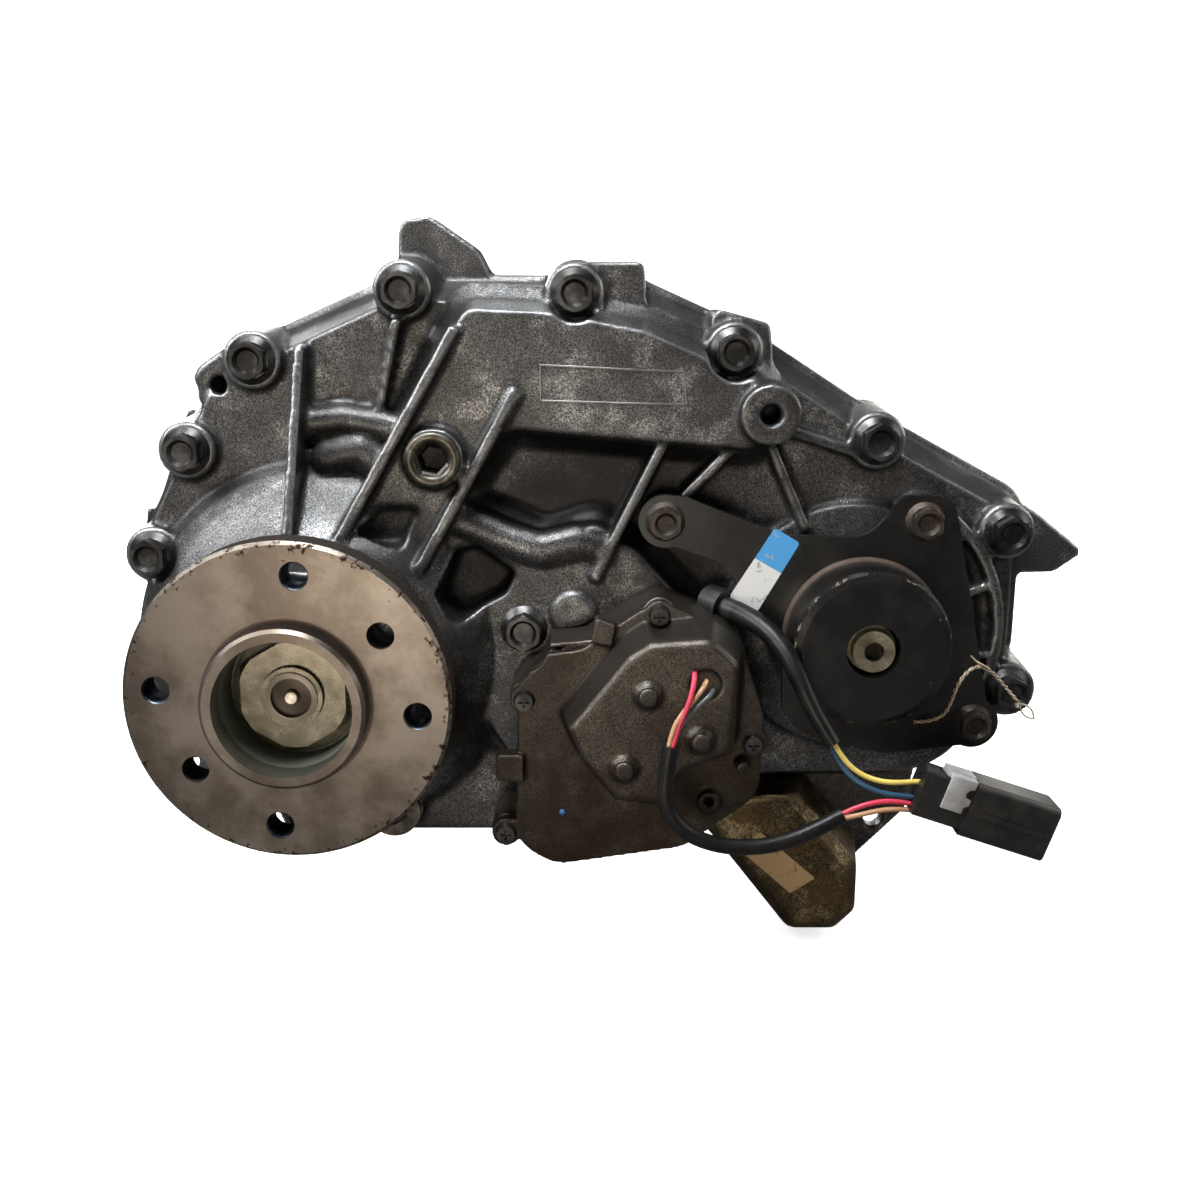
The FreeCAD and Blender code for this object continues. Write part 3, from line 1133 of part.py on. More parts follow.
def damper_bolt():
    x, z = DAMPER
    seat = DAMPER_FRONT + 9.0
    washer = rod(x, z, seat, seat - 1.5, 10.8)
    head = rod(x, z, seat - 1.5, DAMPER_FRONT - 0.5, 9.2)
    socket = hexagon(x, z, DAMPER_FRONT - 0.5, DAMPER_FRONT + 4.5, 8.0)
    shank = rod(x, z, seat, PLATE_BACK, BRACKET_BOLT_R)
    return joined([washer, head.cut(socket), shank])


def bracket_bolts():
    return Part.makeCompound([
        flange_bolt(x, z, PLATE_BACK - PLATE_THICK, BRACKET_BOLT_R, 13.0, 8.0, 9.0, PLATE_BACK + 14.0)
        for x, z in BRACKET_LUGS])


# Shift actuator

def actuator_housing():
    """Cast gear housing, open to the rear until its cover closes it."""
    forms = [draft(ACTUATOR_OUTLINE, DUCT_TOP, ACTUATOR_SPLIT, 1.0, 3.0)]
    for x, z in ACTUATOR_SCREWS:
        forms.append(rod(x, z, DUCT_TOP, ACTUATOR_SPLIT, SCREW_R + 4.5))
    solid = joined(forms)
    floor = DUCT_TOP - 5.0
    room = slab(MOTOR_OUTLINE, floor, ACTUATOR_SPLIT, 3.0)
    cam_room = rod(CAM[0], CAM[1], floor, ACTUATOR_SPLIT, WORM_WHEEL_R + 1.5)
    bolt_clear = rod(CASE_BOLTS[-1][0], CASE_BOLTS[-1][1], DUCT_TOP, ACTUATOR_SPLIT, BOLT_WASHER_R + 1.0)
    dome_clear = rod(0, 0, DUCT_TOP, ACTUATOR_SPLIT, DOME[3][0] + FREE_GAP)
    holes = [rod(x, z, DUCT_TOP, ACTUATOR_SPLIT, SCREW_R + SEAT_GAP) for x, z in ACTUATOR_SCREWS]
    holes.append(rod(CAM[0], CAM[1], DUCT_TOP, ACTUATOR_SPLIT, CAM_SHAFT_R + RUN_GAP))
    return solid.cut([room, cam_room, bolt_clear, dome_clear] + holes)


def actuator_cover():
    """Cover plate with the raised motor dome, its pins and the wire mouth."""
    plate = slab(ACTUATOR_OUTLINE, ACTUATOR_SPLIT, ACTUATOR_SPLIT - 5.0, 2.5)
    dome = draft(MOTOR_OUTLINE, ACTUATOR_SPLIT - 5.0, ACTUATOR_TOP + 2.0, 0.0, 4.0)
    top = draft(MOTOR_OUTLINE, ACTUATOR_TOP + 2.0, ACTUATOR_TOP, 4.0, 6.0)
    forms = [plate, dome, top]
    for x, z in MOTOR_PINS:
        forms.append(rod(x, z, ACTUATOR_TOP, ACTUATOR_TOP - 2.0, MOTOR_PIN_R + 1.2))
        forms.append(rod(x, z, ACTUATOR_TOP, ACTUATOR_TOP - 5.0, MOTOR_PIN_R - 0.6))
    forms.append(rod(RIVET[0], RIVET[1], ACTUATOR_SPLIT, ACTUATOR_SPLIT - 8.0, RIVET_R + 1.0))
    forms.append(rod(SIDE_PIN[0], SIDE_PIN[1], ACTUATOR_SPLIT, ACTUATOR_SPLIT - 14.0, SIDE_PIN_R))
    forms += [slab(tab, ACTUATOR_SPLIT, ACTUATOR_SPLIT - 9.0) for tab in COVER_TABS]
    room = slab(MOTOR_OUTLINE, ACTUATOR_SPLIT, ACTUATOR_TOP + 4.0, 8.0)
    mouth = rod(WIRE_HOLE[0], WIRE_HOLE[1], ACTUATOR_TOP, ACTUATOR_TOP + WIRE_HOLE_DEEP, WIRE_HOLE_R)
    holes = [rod(x, z, ACTUATOR_SPLIT, ACTUATOR_SPLIT - 5.0, SCREW_R + BOLT_GAP) for x, z in ACTUATOR_SCREWS]
    for x, z in ACTUATOR_SCREWS:
        forms.append(rod(x, z, ACTUATOR_SPLIT, ACTUATOR_SPLIT - 5.0, SCREW_R + 4.0))
    bolt_clear = rod(CASE_BOLTS[-1][0], CASE_BOLTS[-1][1], DUCT_TOP, ACTUATOR_TOP, BOLT_WASHER_R + 1.0)
    heads = [rod(x, z, ACTUATOR_SPLIT - 5.0, ACTUATOR_TOP, SCREW_R + 3.2) for x, z in ACTUATOR_SCREWS]
    eye = rod(RIVET[0], RIVET[1], ACTUATOR_SPLIT - 2.0, ACTUATOR_SPLIT - 8.0, RIVET_R - 1.8)
    return joined(forms).cut([room, mouth, bolt_clear, eye] + holes + heads)


def actuator_screws():
    screws = []
    for x, z in ACTUATOR_SCREWS:
        seat = ACTUATOR_SPLIT - 5.0
        head = Part.makeCone(SCREW_R + 2.4, SCREW_R + 1.4, 3.0, V(x, seat, z), V(0, -1, 0))
        slot_a = Part.makeBox(1.1, 1.8, 5.0, V(x - 0.55, seat - 3.0, z - 2.5))
        slot_b = Part.makeBox(5.0, 1.8, 1.1, V(x - 2.5, seat - 3.0, z - 0.55))
        screws.append(joined([head.cut([slot_a, slot_b]), rod(x, z, seat, ACTUATOR_SPLIT + 16.0, SCREW_R)]))
    return Part.makeCompound(screws)


# Mounting foot

def mount_foot():
    """Cast leg below the case that carries the crossmember mounting."""
    leg = draft(FOOT_OUTLINE, SPLIT, FOOT_SHOULDER, 0.0, 5.0)
    toe = draft(FOOT_OUTLINE, FOOT_SHOULDER, FOOT_FACE, 5.0, 11.0)
    case = slab(CASE_OUTLINE, SPLIT, FOOT_FACE, -FREE_GAP)
    holes = [rod(x, z, SPLIT, SPLIT - 26.0, FOOT_BOLT_R + SEAT_GAP) for x, z in FOOT_BOLTS]
    return joined([leg, toe]).cut([case] + holes)


def tube(points, diameter, name):
    """A cord's solid: straight runs joined by tangent arcs as large as the runs allow."""
    route = [V(*p) for p in points]
    edges = []
    start = route[0]
    radii = []
    for before, corner, after in zip(route, route[1:], route[2:]):
        run_in, run_out = corner.sub(before), after.sub(corner)
        turn = run_in.getAngle(run_out)
        shorter = min(run_in.Length, run_out.Length)
        trim = 0.45 * shorter
        radius = trim / math.tan(turn / 2.0)
        radii.append(radius)
        back = V(run_in).normalize()
        ahead = V(run_out).normalize()
        p_in = corner.sub(V(back).multiply(trim))
        p_out = corner.add(V(ahead).multiply(trim))
        inward = V(ahead).sub(back).normalize()
        sag = radius / math.cos(turn / 2.0) - radius
        middle = corner.add(inward.multiply(sag))
        edges.append(Part.LineSegment(start, p_in).toShape())
        edges.append(Part.Arc(p_in, middle, p_out).toShape())
        start = p_out
    edges.append(Part.LineSegment(start, route[-1]).toShape())
    path = Part.Wire(edges)
    direction = route[1].sub(route[0])
    section = Part.Wire(Part.makeCircle(diameter / 2.0, route[0], direction))
    solid = path.makePipeShell([section], True, False)
    ideal = math.pi * diameter ** 2 / 4.0 * path.Length
    print(name, "length", round(path.Length, 1), "smallest radius", round(min(radii), 1),
          "largest", round(max(radii), 1), "volume ratio", round(solid.Volume / ideal, 4))
    return solid


def connector_frame():
    back, front = V(*CONNECTOR_BACK), V(*CONNECTOR_FRONT)
    along = front.sub(back)
    return back, along.Length, -math.degrees(math.atan2(along.z, along.x))


def placed_on_connector(shape):
    """Moves a shape made along +X from the origin to the connector's place."""
    back, length, turn = connector_frame()
    shape.rotate(V(0, 0, 0), FORWARD, turn)
    shape.translate(back)
    return shape


def connector_body():
    length = connector_frame()[1]
    deep, tall = CONNECTOR_DEEP, CONNECTOR_TALL
    rear = Part.makeBox(24.0, deep - 6, tall - 5, V(0, -(deep - 6) / 2, -(tall - 5) / 2))
    shell = Part.makeBox(length - 22.0, deep, tall, V(22.0, -deep / 2, -tall / 2))
    long_edges = [e for e in shell.Edges if abs(e.tangentAt(e.FirstParameter).x) > 0.9]
    shell = shell.makeFillet(3.5, long_edges)
    hood = Part.makeCylinder((deep - 6) / 2, 6.0, V(0, 0, (tall - 5) / 2 - 6.0), V(1, 0, 0))
    rail = Part.makeBox(length - 30.0, deep + 2.4, 2.0, V(26.0, -deep / 2 - 1.2, -1.0))
    socket = Part.makeBox(20.0, deep - 4, tall - 4, V(length - 20.0, -(deep - 4) / 2, -(tall - 4) / 2))
    entries = [Part.makeCylinder(WIRES_R + RUN_GAP, WIRE_IN, V(0, 0, up), V(1, 0, 0))
               for up in (-WIRE_ENTRY, WIRE_ENTRY)]
    return placed_on_connector(joined([rear, shell, hood, rail]).cut([socket] + entries))


def in_connector(x, up):
    """A point at a depth and height in the connector."""
    back, length, turn = connector_frame()
    return FreeCAD.Rotation(FORWARD, turn).multVec(V(x, 0, up)).add(back)


def wires(points):
    """Bare wires in straight runs, with a ball at each bend."""
    forms = []
    for start, end in zip(points, points[1:]):
        along = end.sub(start)
        forms.append(Part.makeCylinder(WIRES_R, along.Length, start, along))
    return joined(forms + [Part.makeSphere(WIRES_R, p) for p in points[1:-1]])


def beyond(last, before):
    """The point that a sleeve's end run points to, one lead ahead."""
    last, before = V(*last), V(*before)
    return last.add(last.sub(before).normalize().multiply(WIRE_LEAD))


def loom_wires():
    """Bare wires at the ends of both sleeves."""
    floor = V(WIRE_HOLE[0], ACTUATOR_TOP + WIRE_HOLE_DEEP, WIRE_HOLE[1])
    above = V(WIRE_HOLE[0], ACTUATOR_TOP - WIRE_LEAD, WIRE_HOLE[1])
    runs = [[floor, above, beyond(MOTOR_LOOM[0], MOTOR_LOOM[1]), V(*MOTOR_LOOM[0])]]
    for loom, up in ((MOTOR_LOOM, -WIRE_ENTRY), (SENSOR_LOOM, WIRE_ENTRY)):
        runs.append([V(*loom[-1]), beyond(loom[-1], loom[-2]), in_connector(-WIRE_LEAD, up),
                     in_connector(WIRE_IN, up)])
    return Part.makeCompound([wires(points) for points in runs])


def position_sensor():
    """Sensor on the shoulder of the actuator; the second loom leaves through its neck."""
    first, second = V(*SENSOR_LOOM[0]), V(*SENSOR_LOOM[1])
    along = second.sub(first).normalize()
    neck = Part.makeCylinder(5.0, 9.0, first.sub(V(along).multiply(9.0)), along)
    body = Part.makeCylinder(8.0, 10.0, first.sub(V(along).multiply(17.0)), along)
    housing = draft(ACTUATOR_OUTLINE, DUCT_TOP, ACTUATOR_SPLIT, 1.0, 3.0)
    cover = slab(ACTUATOR_OUTLINE, ACTUATOR_SPLIT, ACTUATOR_SPLIT - 5.0, 2.5)
    bracket = slab(BRACKET_OUTLINE, COVER_FLOOR, PLATE_BACK - PLATE_THICK - 0.3)
    return joined([body, neck]).cut([housing, cover, bracket])


def connector_lock():
    deep, tall = CONNECTOR_DEEP, CONNECTOR_TALL
    block = Part.makeBox(12.0, 9.0, 3.0, V(9.8, -4.5, (tall - 5) / 2 + 0.3))
    return placed_on_connector(block)


NODES = {
    "front_case": front_case,
    "rear_case": rear_case,
    "case_bolts": case_bolts,
    "ring_gear": ring_gear,
    "fill_plug": fill_plug,
    "damper_bracket": damper_bracket,
    "damper_rubber": damper_rubber,
    "damper_bolt": damper_bolt,
    "bracket_bolts": bracket_bolts,
    "actuator_housing": actuator_housing,
    "actuator_cover": actuator_cover,
    "actuator_screws": actuator_screws,
    "mount_foot": mount_foot,
    "foot_bolts": foot_bolts,
    "dowel_pins": dowel_pins,
    "drain_plug": drain_plug,
    "breather": breather,
    "oil_pump": oil_pump,
    "position_sensor": position_sensor,
    "loom_wires": loom_wires,
    "connector_body": connector_body,
    "connector_lock": connector_lock,
    "damper_mass": damper_mass,
    "input_shaft": input_shaft,
    "planet_carrier": planet_carrier,
    "main_shaft": main_shaft,
    "rear_flange": rear_flange,
    "flange_nut": flange_nut,
    "drive_sprocket": drive_sprocket,
    "driven_sprocket": driven_sprocket,
    "chain": chain,
    "front_shaft": front_shaft,
    "front_flange": front_flange,
    "front_flange_nut": front_flange_nut,
    "range_collar": range_collar,
    "mode_collar": mode_collar,
    "range_fork": range_fork,
    "mode_fork": mode_fork,
    "shift_cam": shift_cam,
    "actuator_worm": actuator_worm,
}


def build():
    os.makedirs("parts", exist_ok=True)
    for name, make in NODES.items():
        save(name, make())
    for k, angle in enumerate(planet_places()):
        save("planet_gear_" + str(k + 1), planet_gear(angle))
    bearings = (
        ("input", 0, 0, INPUT_BEARING, 31.0, INPUT_R + SEAT_GAP, 12),
        ("rear", 0, 0, REAR_BEARING, 40.0, SHAFT_R + SEAT_GAP, 11),
        ("front", FRONT_X, FRONT_Z, FRONT_BEARING, 34.0, FRONT_SHAFT_R + SEAT_GAP, 10),
        ("tail", FRONT_X, FRONT_Z, TAIL_BEARING, 28.0, FRONT_SHAFT_R - 3.0 + SEAT_GAP, 10),
    )
    for name, x, z, stations, r_out, r_in, balls in bearings:
        outer, inner = bearing(x, z, stations, r_out, r_in, balls)
        save(name + "_bearing_outer", outer)
        save(name + "_bearing_inner", inner)
    save("input_seal", seal(0, 0, INPUT_SEAL, 31.0, INPUT_R + RUN_GAP))
    save("rear_seal", seal(0, 0, REAR_SEAL, 42.0, HUB_R + RUN_GAP))
    save("front_seal", seal(FRONT_X, FRONT_Z, FRONT_SEAL, 34.0, FRONT_HUB_R + RUN_GAP))
    save("shift_rail", rod(RAIL[0], RAIL[1], FRONT_FLOOR - COVER_WALL, COVER_FLOOR + COVER_WALL, RAIL_R))
    save("motor_loom", tube(MOTOR_LOOM, LOOM_D, "motor_loom"))
    save("sensor_loom", tube(SENSOR_LOOM, LOOM_D, "sensor_loom"))


build()
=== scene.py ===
from math import cos, pi, radians, sin

import bmesh
import bpy
from mathutils import Matrix, Vector


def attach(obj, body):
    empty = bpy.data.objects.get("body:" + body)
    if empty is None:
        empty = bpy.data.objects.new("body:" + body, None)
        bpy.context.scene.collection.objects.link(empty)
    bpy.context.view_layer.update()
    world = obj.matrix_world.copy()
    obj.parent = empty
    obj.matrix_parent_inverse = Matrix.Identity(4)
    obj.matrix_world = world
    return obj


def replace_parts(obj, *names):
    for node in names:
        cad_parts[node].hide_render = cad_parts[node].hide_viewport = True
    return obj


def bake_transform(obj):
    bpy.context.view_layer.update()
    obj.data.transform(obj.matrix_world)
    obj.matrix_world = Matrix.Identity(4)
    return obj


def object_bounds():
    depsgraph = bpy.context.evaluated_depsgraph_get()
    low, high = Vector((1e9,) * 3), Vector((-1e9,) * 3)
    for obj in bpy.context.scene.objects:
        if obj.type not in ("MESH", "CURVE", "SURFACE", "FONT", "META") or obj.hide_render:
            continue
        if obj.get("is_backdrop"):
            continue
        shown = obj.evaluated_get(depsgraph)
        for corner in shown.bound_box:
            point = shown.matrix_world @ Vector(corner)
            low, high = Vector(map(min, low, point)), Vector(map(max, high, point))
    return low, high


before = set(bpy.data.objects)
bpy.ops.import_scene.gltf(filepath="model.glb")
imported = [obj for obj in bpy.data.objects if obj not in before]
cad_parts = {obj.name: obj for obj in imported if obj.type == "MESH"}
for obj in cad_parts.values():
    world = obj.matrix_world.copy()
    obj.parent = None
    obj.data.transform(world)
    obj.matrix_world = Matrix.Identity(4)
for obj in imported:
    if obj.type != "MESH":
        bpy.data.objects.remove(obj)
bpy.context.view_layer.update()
mm = 0.001
merge = 1e-6  # points nearer than this, in metres, become one


# the camera, at the angle of the photograph
cameraSetup = {"place": (0.129, -0.731, 0.1656), "elevation": 13.4, "lens": 39.0, "sensor": 36.0}


def addCamera(setup):
    data = bpy.data.cameras.new("camera")
    data.sensor_width = setup["sensor"]
    data.lens = setup["lens"]
    camera = bpy.data.objects.new("camera", data)
    camera.location = setup["place"]
    camera.rotation_euler = (radians(90.0 - setup["elevation"]), 0.0, 0.0)
    bpy.context.collection.objects.link(camera)
    bpy.context.scene.camera = camera


addCamera(cameraSetup)


# helpers for pieces
def inMetres(place):
    return tuple(c * mm for c in place)


def linkPiece(name, data, body, material=None):
    piece = bpy.data.objects.new(name, data)
    bpy.context.collection.objects.link(piece)
    if material is not None:
        data.materials.clear()
        data.materials.append(material)
    if body:
        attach(piece, body)
    return piece


def meshPiece(name, bm, body, material=None, smooth=True):
    mesh = bpy.data.meshes.new(name)
    bm.to_mesh(mesh)
    bm.free()
    for face in mesh.polygons:
        face.use_smooth = smooth
    return linkPiece(name, mesh, body, material)


def placed(bm, matrix, verts=None):
    bmesh.ops.transform(bm, matrix=matrix, verts=verts or bm.verts)


def alongY(x, y, z, turn=0.0):
    # a form made about Z, with its top to the rear, set on a place in mm
    return (Matrix.Translation(Vector((x, y, z)) * mm)
            @ Matrix.Rotation(radians(turn), 4, "Y") @ Matrix.Rotation(radians(90.0), 4, "X"))


def lathe(bm, profile, steps=48):
    # profile: (radius, height) in mm, turned about Z
    start = len(bm.verts)
    ring = [bm.verts.new((r * mm, 0.0, h * mm)) for r, h in profile]
    edges = [bm.edges.new(pair) for pair in zip(ring, ring[1:])]
    bmesh.ops.spin(bm, geom=ring + edges, cent=(0, 0, 0), axis=(0, 0, 1), angle=2 * pi,
                   steps=steps, use_merge=True)
    bm.verts.ensure_lookup_table()
    made = bm.verts[start:]
    bmesh.ops.remove_doubles(bm, verts=made, dist=merge)
    bm.verts.ensure_lookup_table()
    return bm.verts[start:]


def pullOut(bm, faces, rise):
    # faces pulled along Y by rise, in mm, with walls behind them
    made = bmesh.ops.extrude_face_region(bm, geom=faces)
    top = [v for v in made["geom"] if isinstance(v, bmesh.types.BMVert)]
    bmesh.ops.translate(bm, verts=top, vec=(0.0, rise * mm, 0.0))


def slabForm(bm, corners, low, high):
    # an outline of (x, z) in mm, standing from station low to station high on Y
    base = [bm.verts.new((x * mm, low * mm, z * mm)) for x, z in corners]
    pullOut(bm, [bm.faces.new(base)], high - low)


def softEdges(bm, width):
    bmesh.ops.recalc_face_normals(bm, faces=bm.faces)
    bmesh.ops.bevel(bm, geom=bm.edges, offset=width * mm, segments=2, affect="EDGES",
                    profile=0.5, material=-1)


# cords: two sleeves and their bare wires, in mm
motorSleeve = {
    "thickness": 7.0, "length": 113.9,
    "route": ((158.6, -213.2, -21.0), (156.6, -214.0, -33.0), (156.3, -214.5, -46.5),
              (163.0, -214.5, -58.0), (175.0, -214.0, -64.5), (189.0, -213.0, -67.2),
              (204.0, -211.0, -66.8), (219.5, -208.0, -62.5), (234.0, -204.5, -55.8)),
}
sensorSleeve = {
    "thickness": 8.4, "length": 78.1, "swell": 1.25,  # wider at its neck, slimmer at its end
    "route": ((190.5, -160.0, 24.0), (199.0, -169.0, 22.0), (208.5, -180.0, 14.5),
              (215.5, -189.5, 2.0), (221.5, -195.0, -12.5), (230.0, -198.0, -25.5)),
}
bareThickness = 2.3
bareWires = {
    "pinkAtMotor": ((169.1, -202.6, 8.6), (168.9, -207.0, 7.9), (167.9, -210.5, 2.9),
                    (165.8, -212.5, -3.9), (162.0, -213.0, -12.0), (159.4, -213.2, -22.0)),
    "tanAtMotor": ((174.3, -202.6, 4.6), (173.2, -207.0, 3.5), (168.9, -210.0, -1.2),
                   (163.0, -212.4, -7.6), (159.4, -213.4, -14.0), (157.9, -213.2, -22.0)),
    "greyAtMotor": ((177.0, -202.6, 0.4), (176.0, -207.0, -0.2), (171.9, -209.0, -3.2),
                    (166.6, -210.8, -8.0), (161.8, -211.6, -13.6), (158.8, -211.8, -22.0)),
    "yellowAtPlug": ((229.6, -199.0, -24.0), (233.6, -199.0, -31.0), (240.0, -200.6, -37.4),
                     (249.0, -201.6, -41.2), (258.6, -201.6, -42.0), (268.0, -201.0, -41.2),
                     (275.0, -201.0, -43.4)),
    "blueAtPlug": ((228.6, -197.0, -24.6), (232.0, -197.4, -33.0), (238.4, -200.0, -40.6),
                   (247.0, -202.0, -45.2), (256.0, -202.4, -47.2), (265.0, -201.8, -48.2),
                   (273.0, -201.0, -50.6)),
    "pinkAtPlug": ((231.6, -204.6, -56.6), (236.6, -204.4, -53.6), (243.4, -204.4, -51.0),
                   (250.6, -203.8, -49.6), (258.0, -203.0, -50.0), (264.6, -202.0, -51.4),
                   (271.4, -201.6, -53.6)),
    "tanAtPlug": ((232.4, -205.8, -57.0), (238.0, -205.6, -56.0), (245.4, -205.2, -54.2),
                  (252.4, -204.2, -53.2), (259.4, -203.0, -53.4), (265.6, -201.8, -54.6),
                  (271.0, -200.6, -56.4)),
}


def cordCurve(name, route, thickness, body, material=None, swell=1.0):
    data = bpy.data.curves.new(name, "CURVE")
    data.dimensions = "3D"
    spline = data.splines.new("NURBS")
    spline.points.add(len(route) - 1)
    for k, (point, place) in enumerate(zip(spline.points, route)):
        point.co = (place[0] * mm, place[1] * mm, place[2] * mm, 1.0)
        point.radius = thickness * mm / 2 * (swell + (1 / swell - swell) * k / (len(route) - 1))
    spline.order_u = 3
    spline.use_endpoint_u = True
    spline.resolution_u = 10
    data.bevel_depth = 1.0  # each point's radius carries the thickness
    data.bevel_resolution = 5
    data.use_fill_caps = True
    return linkPiece(name, data, body, material)


wirePieces = {name: cordCurve(name, route, bareThickness, "case")
              for name, route in bareWires.items()}
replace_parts(wirePieces["pinkAtMotor"], "loom_wires")

# grey plate of the connector's lock, over its top edge, in the connector's own directions
lockPlate = {"place": (266.0, -201.0, -44.0), "turn": 18.43, "low": -9.9, "high": -8.5, "capHigh": -4.0,
             "outline": ((9.8, -2.6), (19.4, -2.6), (19.4, 0.4), (21.4, 1.6), (21.4, 4.2), (18.7, 4.9),
                         (18.2, 6.9), (19.4, 8.6), (21.4, 9.2), (21.4, 13.0), (9.8, 13.0)),
             "cap": ((9.8, 10.7), (21.4, 10.7), (21.4, 13.0), (9.8, 13.0)), "softEdge": 0.3}


def addLockPlate(setup):
    bm = bmesh.new()
    slabForm(bm, setup["outline"], setup["high"], setup["low"])
    slabForm(bm, setup["cap"], setup["high"], setup["capHigh"])
    softEdges(bm, setup["softEdge"])
    placed(bm, Matrix.Translation(Vector(setup["place"]) * mm)
           @ Matrix.Rotation(radians(setup["turn"]), 4, "Y"))
    return meshPiece("lockPlate", bm, "lock")


lockPiece = addLockPlate(lockPlate)

sleeveA = cordCurve("motorSleeve", motorSleeve["route"], motorSleeve["thickness"], "case")
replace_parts(sleeveA, "motor_loom")
sleeveB = cordCurve("sensorSleeve", sensorSleeve["route"], sensorSleeve["thickness"], "case",
                    swell=sensorSleeve["swell"])
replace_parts(sleeveB, "sensor_loom")
print("cords laid")


# helpers for materials
def addNode(tree, kind, inputs=None, **options):
    node = tree.nodes.new(kind)
    for key, value in options.items():
        setattr(node, key, value)
    for key, value in (inputs or {}).items():
        fillSocket(tree, node.inputs[key], value)
    return node


def fillSocket(tree, socket, value):
    if isinstance(value, bpy.types.NodeSocket):
        tree.links.new(value, socket)
    else:
        socket.default_value = value


def newGroup(name, takes, gives):
    group = bpy.data.node_groups.new(name, "ShaderNodeTree")
    for label, kind, start in takes:
        socket = group.interface.new_socket(label, in_out="INPUT", socket_type="NodeSocket" + kind)
        if start is not None:
            socket.default_value = start
    for label, kind in gives:
        group.interface.new_socket(label, in_out="OUTPUT", socket_type="NodeSocket" + kind)
    return group, group.nodes.new("NodeGroupInput").outputs, group.nodes.new("NodeGroupOutput").inputs


def useGroup(tree, group, inputs):
    node = tree.nodes.new("ShaderNodeGroup")
    node.node_tree = group
    for key, value in inputs.items():
        fillSocket(tree, node.inputs[key], value)
    return node.outputs


def mixColour(tree, factor, a, b):
    node = addNode(tree, "ShaderNodeMix", data_type="RGBA", blend_type="MIX")
    for socket, value in ((node.inputs[0], factor), (node.inputs[6], a), (node.inputs[7], b)):
        fillSocket(tree, socket, value)
    return node.outputs[2]


def step(tree, value, low, high):
    # 0 at low, 1 at high, smooth between them
    node = addNode(tree, "ShaderNodeMapRange", {"Value": value, "From Min": low, "From Max": high},
                   interpolation_type="SMOOTHSTEP")
    return node.outputs["Result"]


def calc(tree, operation, a, b=0.0):
    return addNode(tree, "ShaderNodeMath", {0: a, 1: b}, operation=operation).outputs[0]


def times(tree, a, b):
    return calc(tree, "MULTIPLY", a, b)


def noiseOf(tree, vector, scale, detail=3.0, rough=0.55, distort=0.0):
    return addNode(tree, "ShaderNodeTexNoise", {"Vector": vector, "Scale": scale, "Detail": detail,
                                                "Roughness": rough, "Distortion": distort}).outputs["Fac"]


def partOf(tree, place, axis):
    return addNode(tree, "ShaderNodeSeparateXYZ", {0: place}).outputs[axis]


def grey(value, warm=0.0):
    return (value * (1 + warm), value, value * (1 - warm), 1.0)


# noise of a casting: scale per mm, detail, roughness and distortion
castNoise = {"grain": (1.3, 5.0, 0.7), "specks": (1.25, 6.0, 0.8, 0.4), "fine": (3.2, 3.0, 0.6),
             "patch": (0.05, 4.0, 0.6), "broad": (0.014, 3.0, 0.5)}
# pointiness limits: hollows get dirt and painted shade, ridges get wear and a painted highlight
castWear = {"rubbed": (0.40, 0.66), "ridge": (0.508, 0.55), "pitAndShade": (0.497, 0.455), "base": (0.4, 0.62),
            "stain": (0.45, 0.62), "silver": (-0.03, 0.10), "speckFloor": 0.64, "rubShare": 0.16,
            "silverShare": 0.55, "ridgeShare": 0.55, "pitShadeDark": 0.85,
            "rough": 0.37, "pitRough": 0.25, "wornSmooth": 0.12, "grainHeight": 0.7, "fineHeight": 0.3}


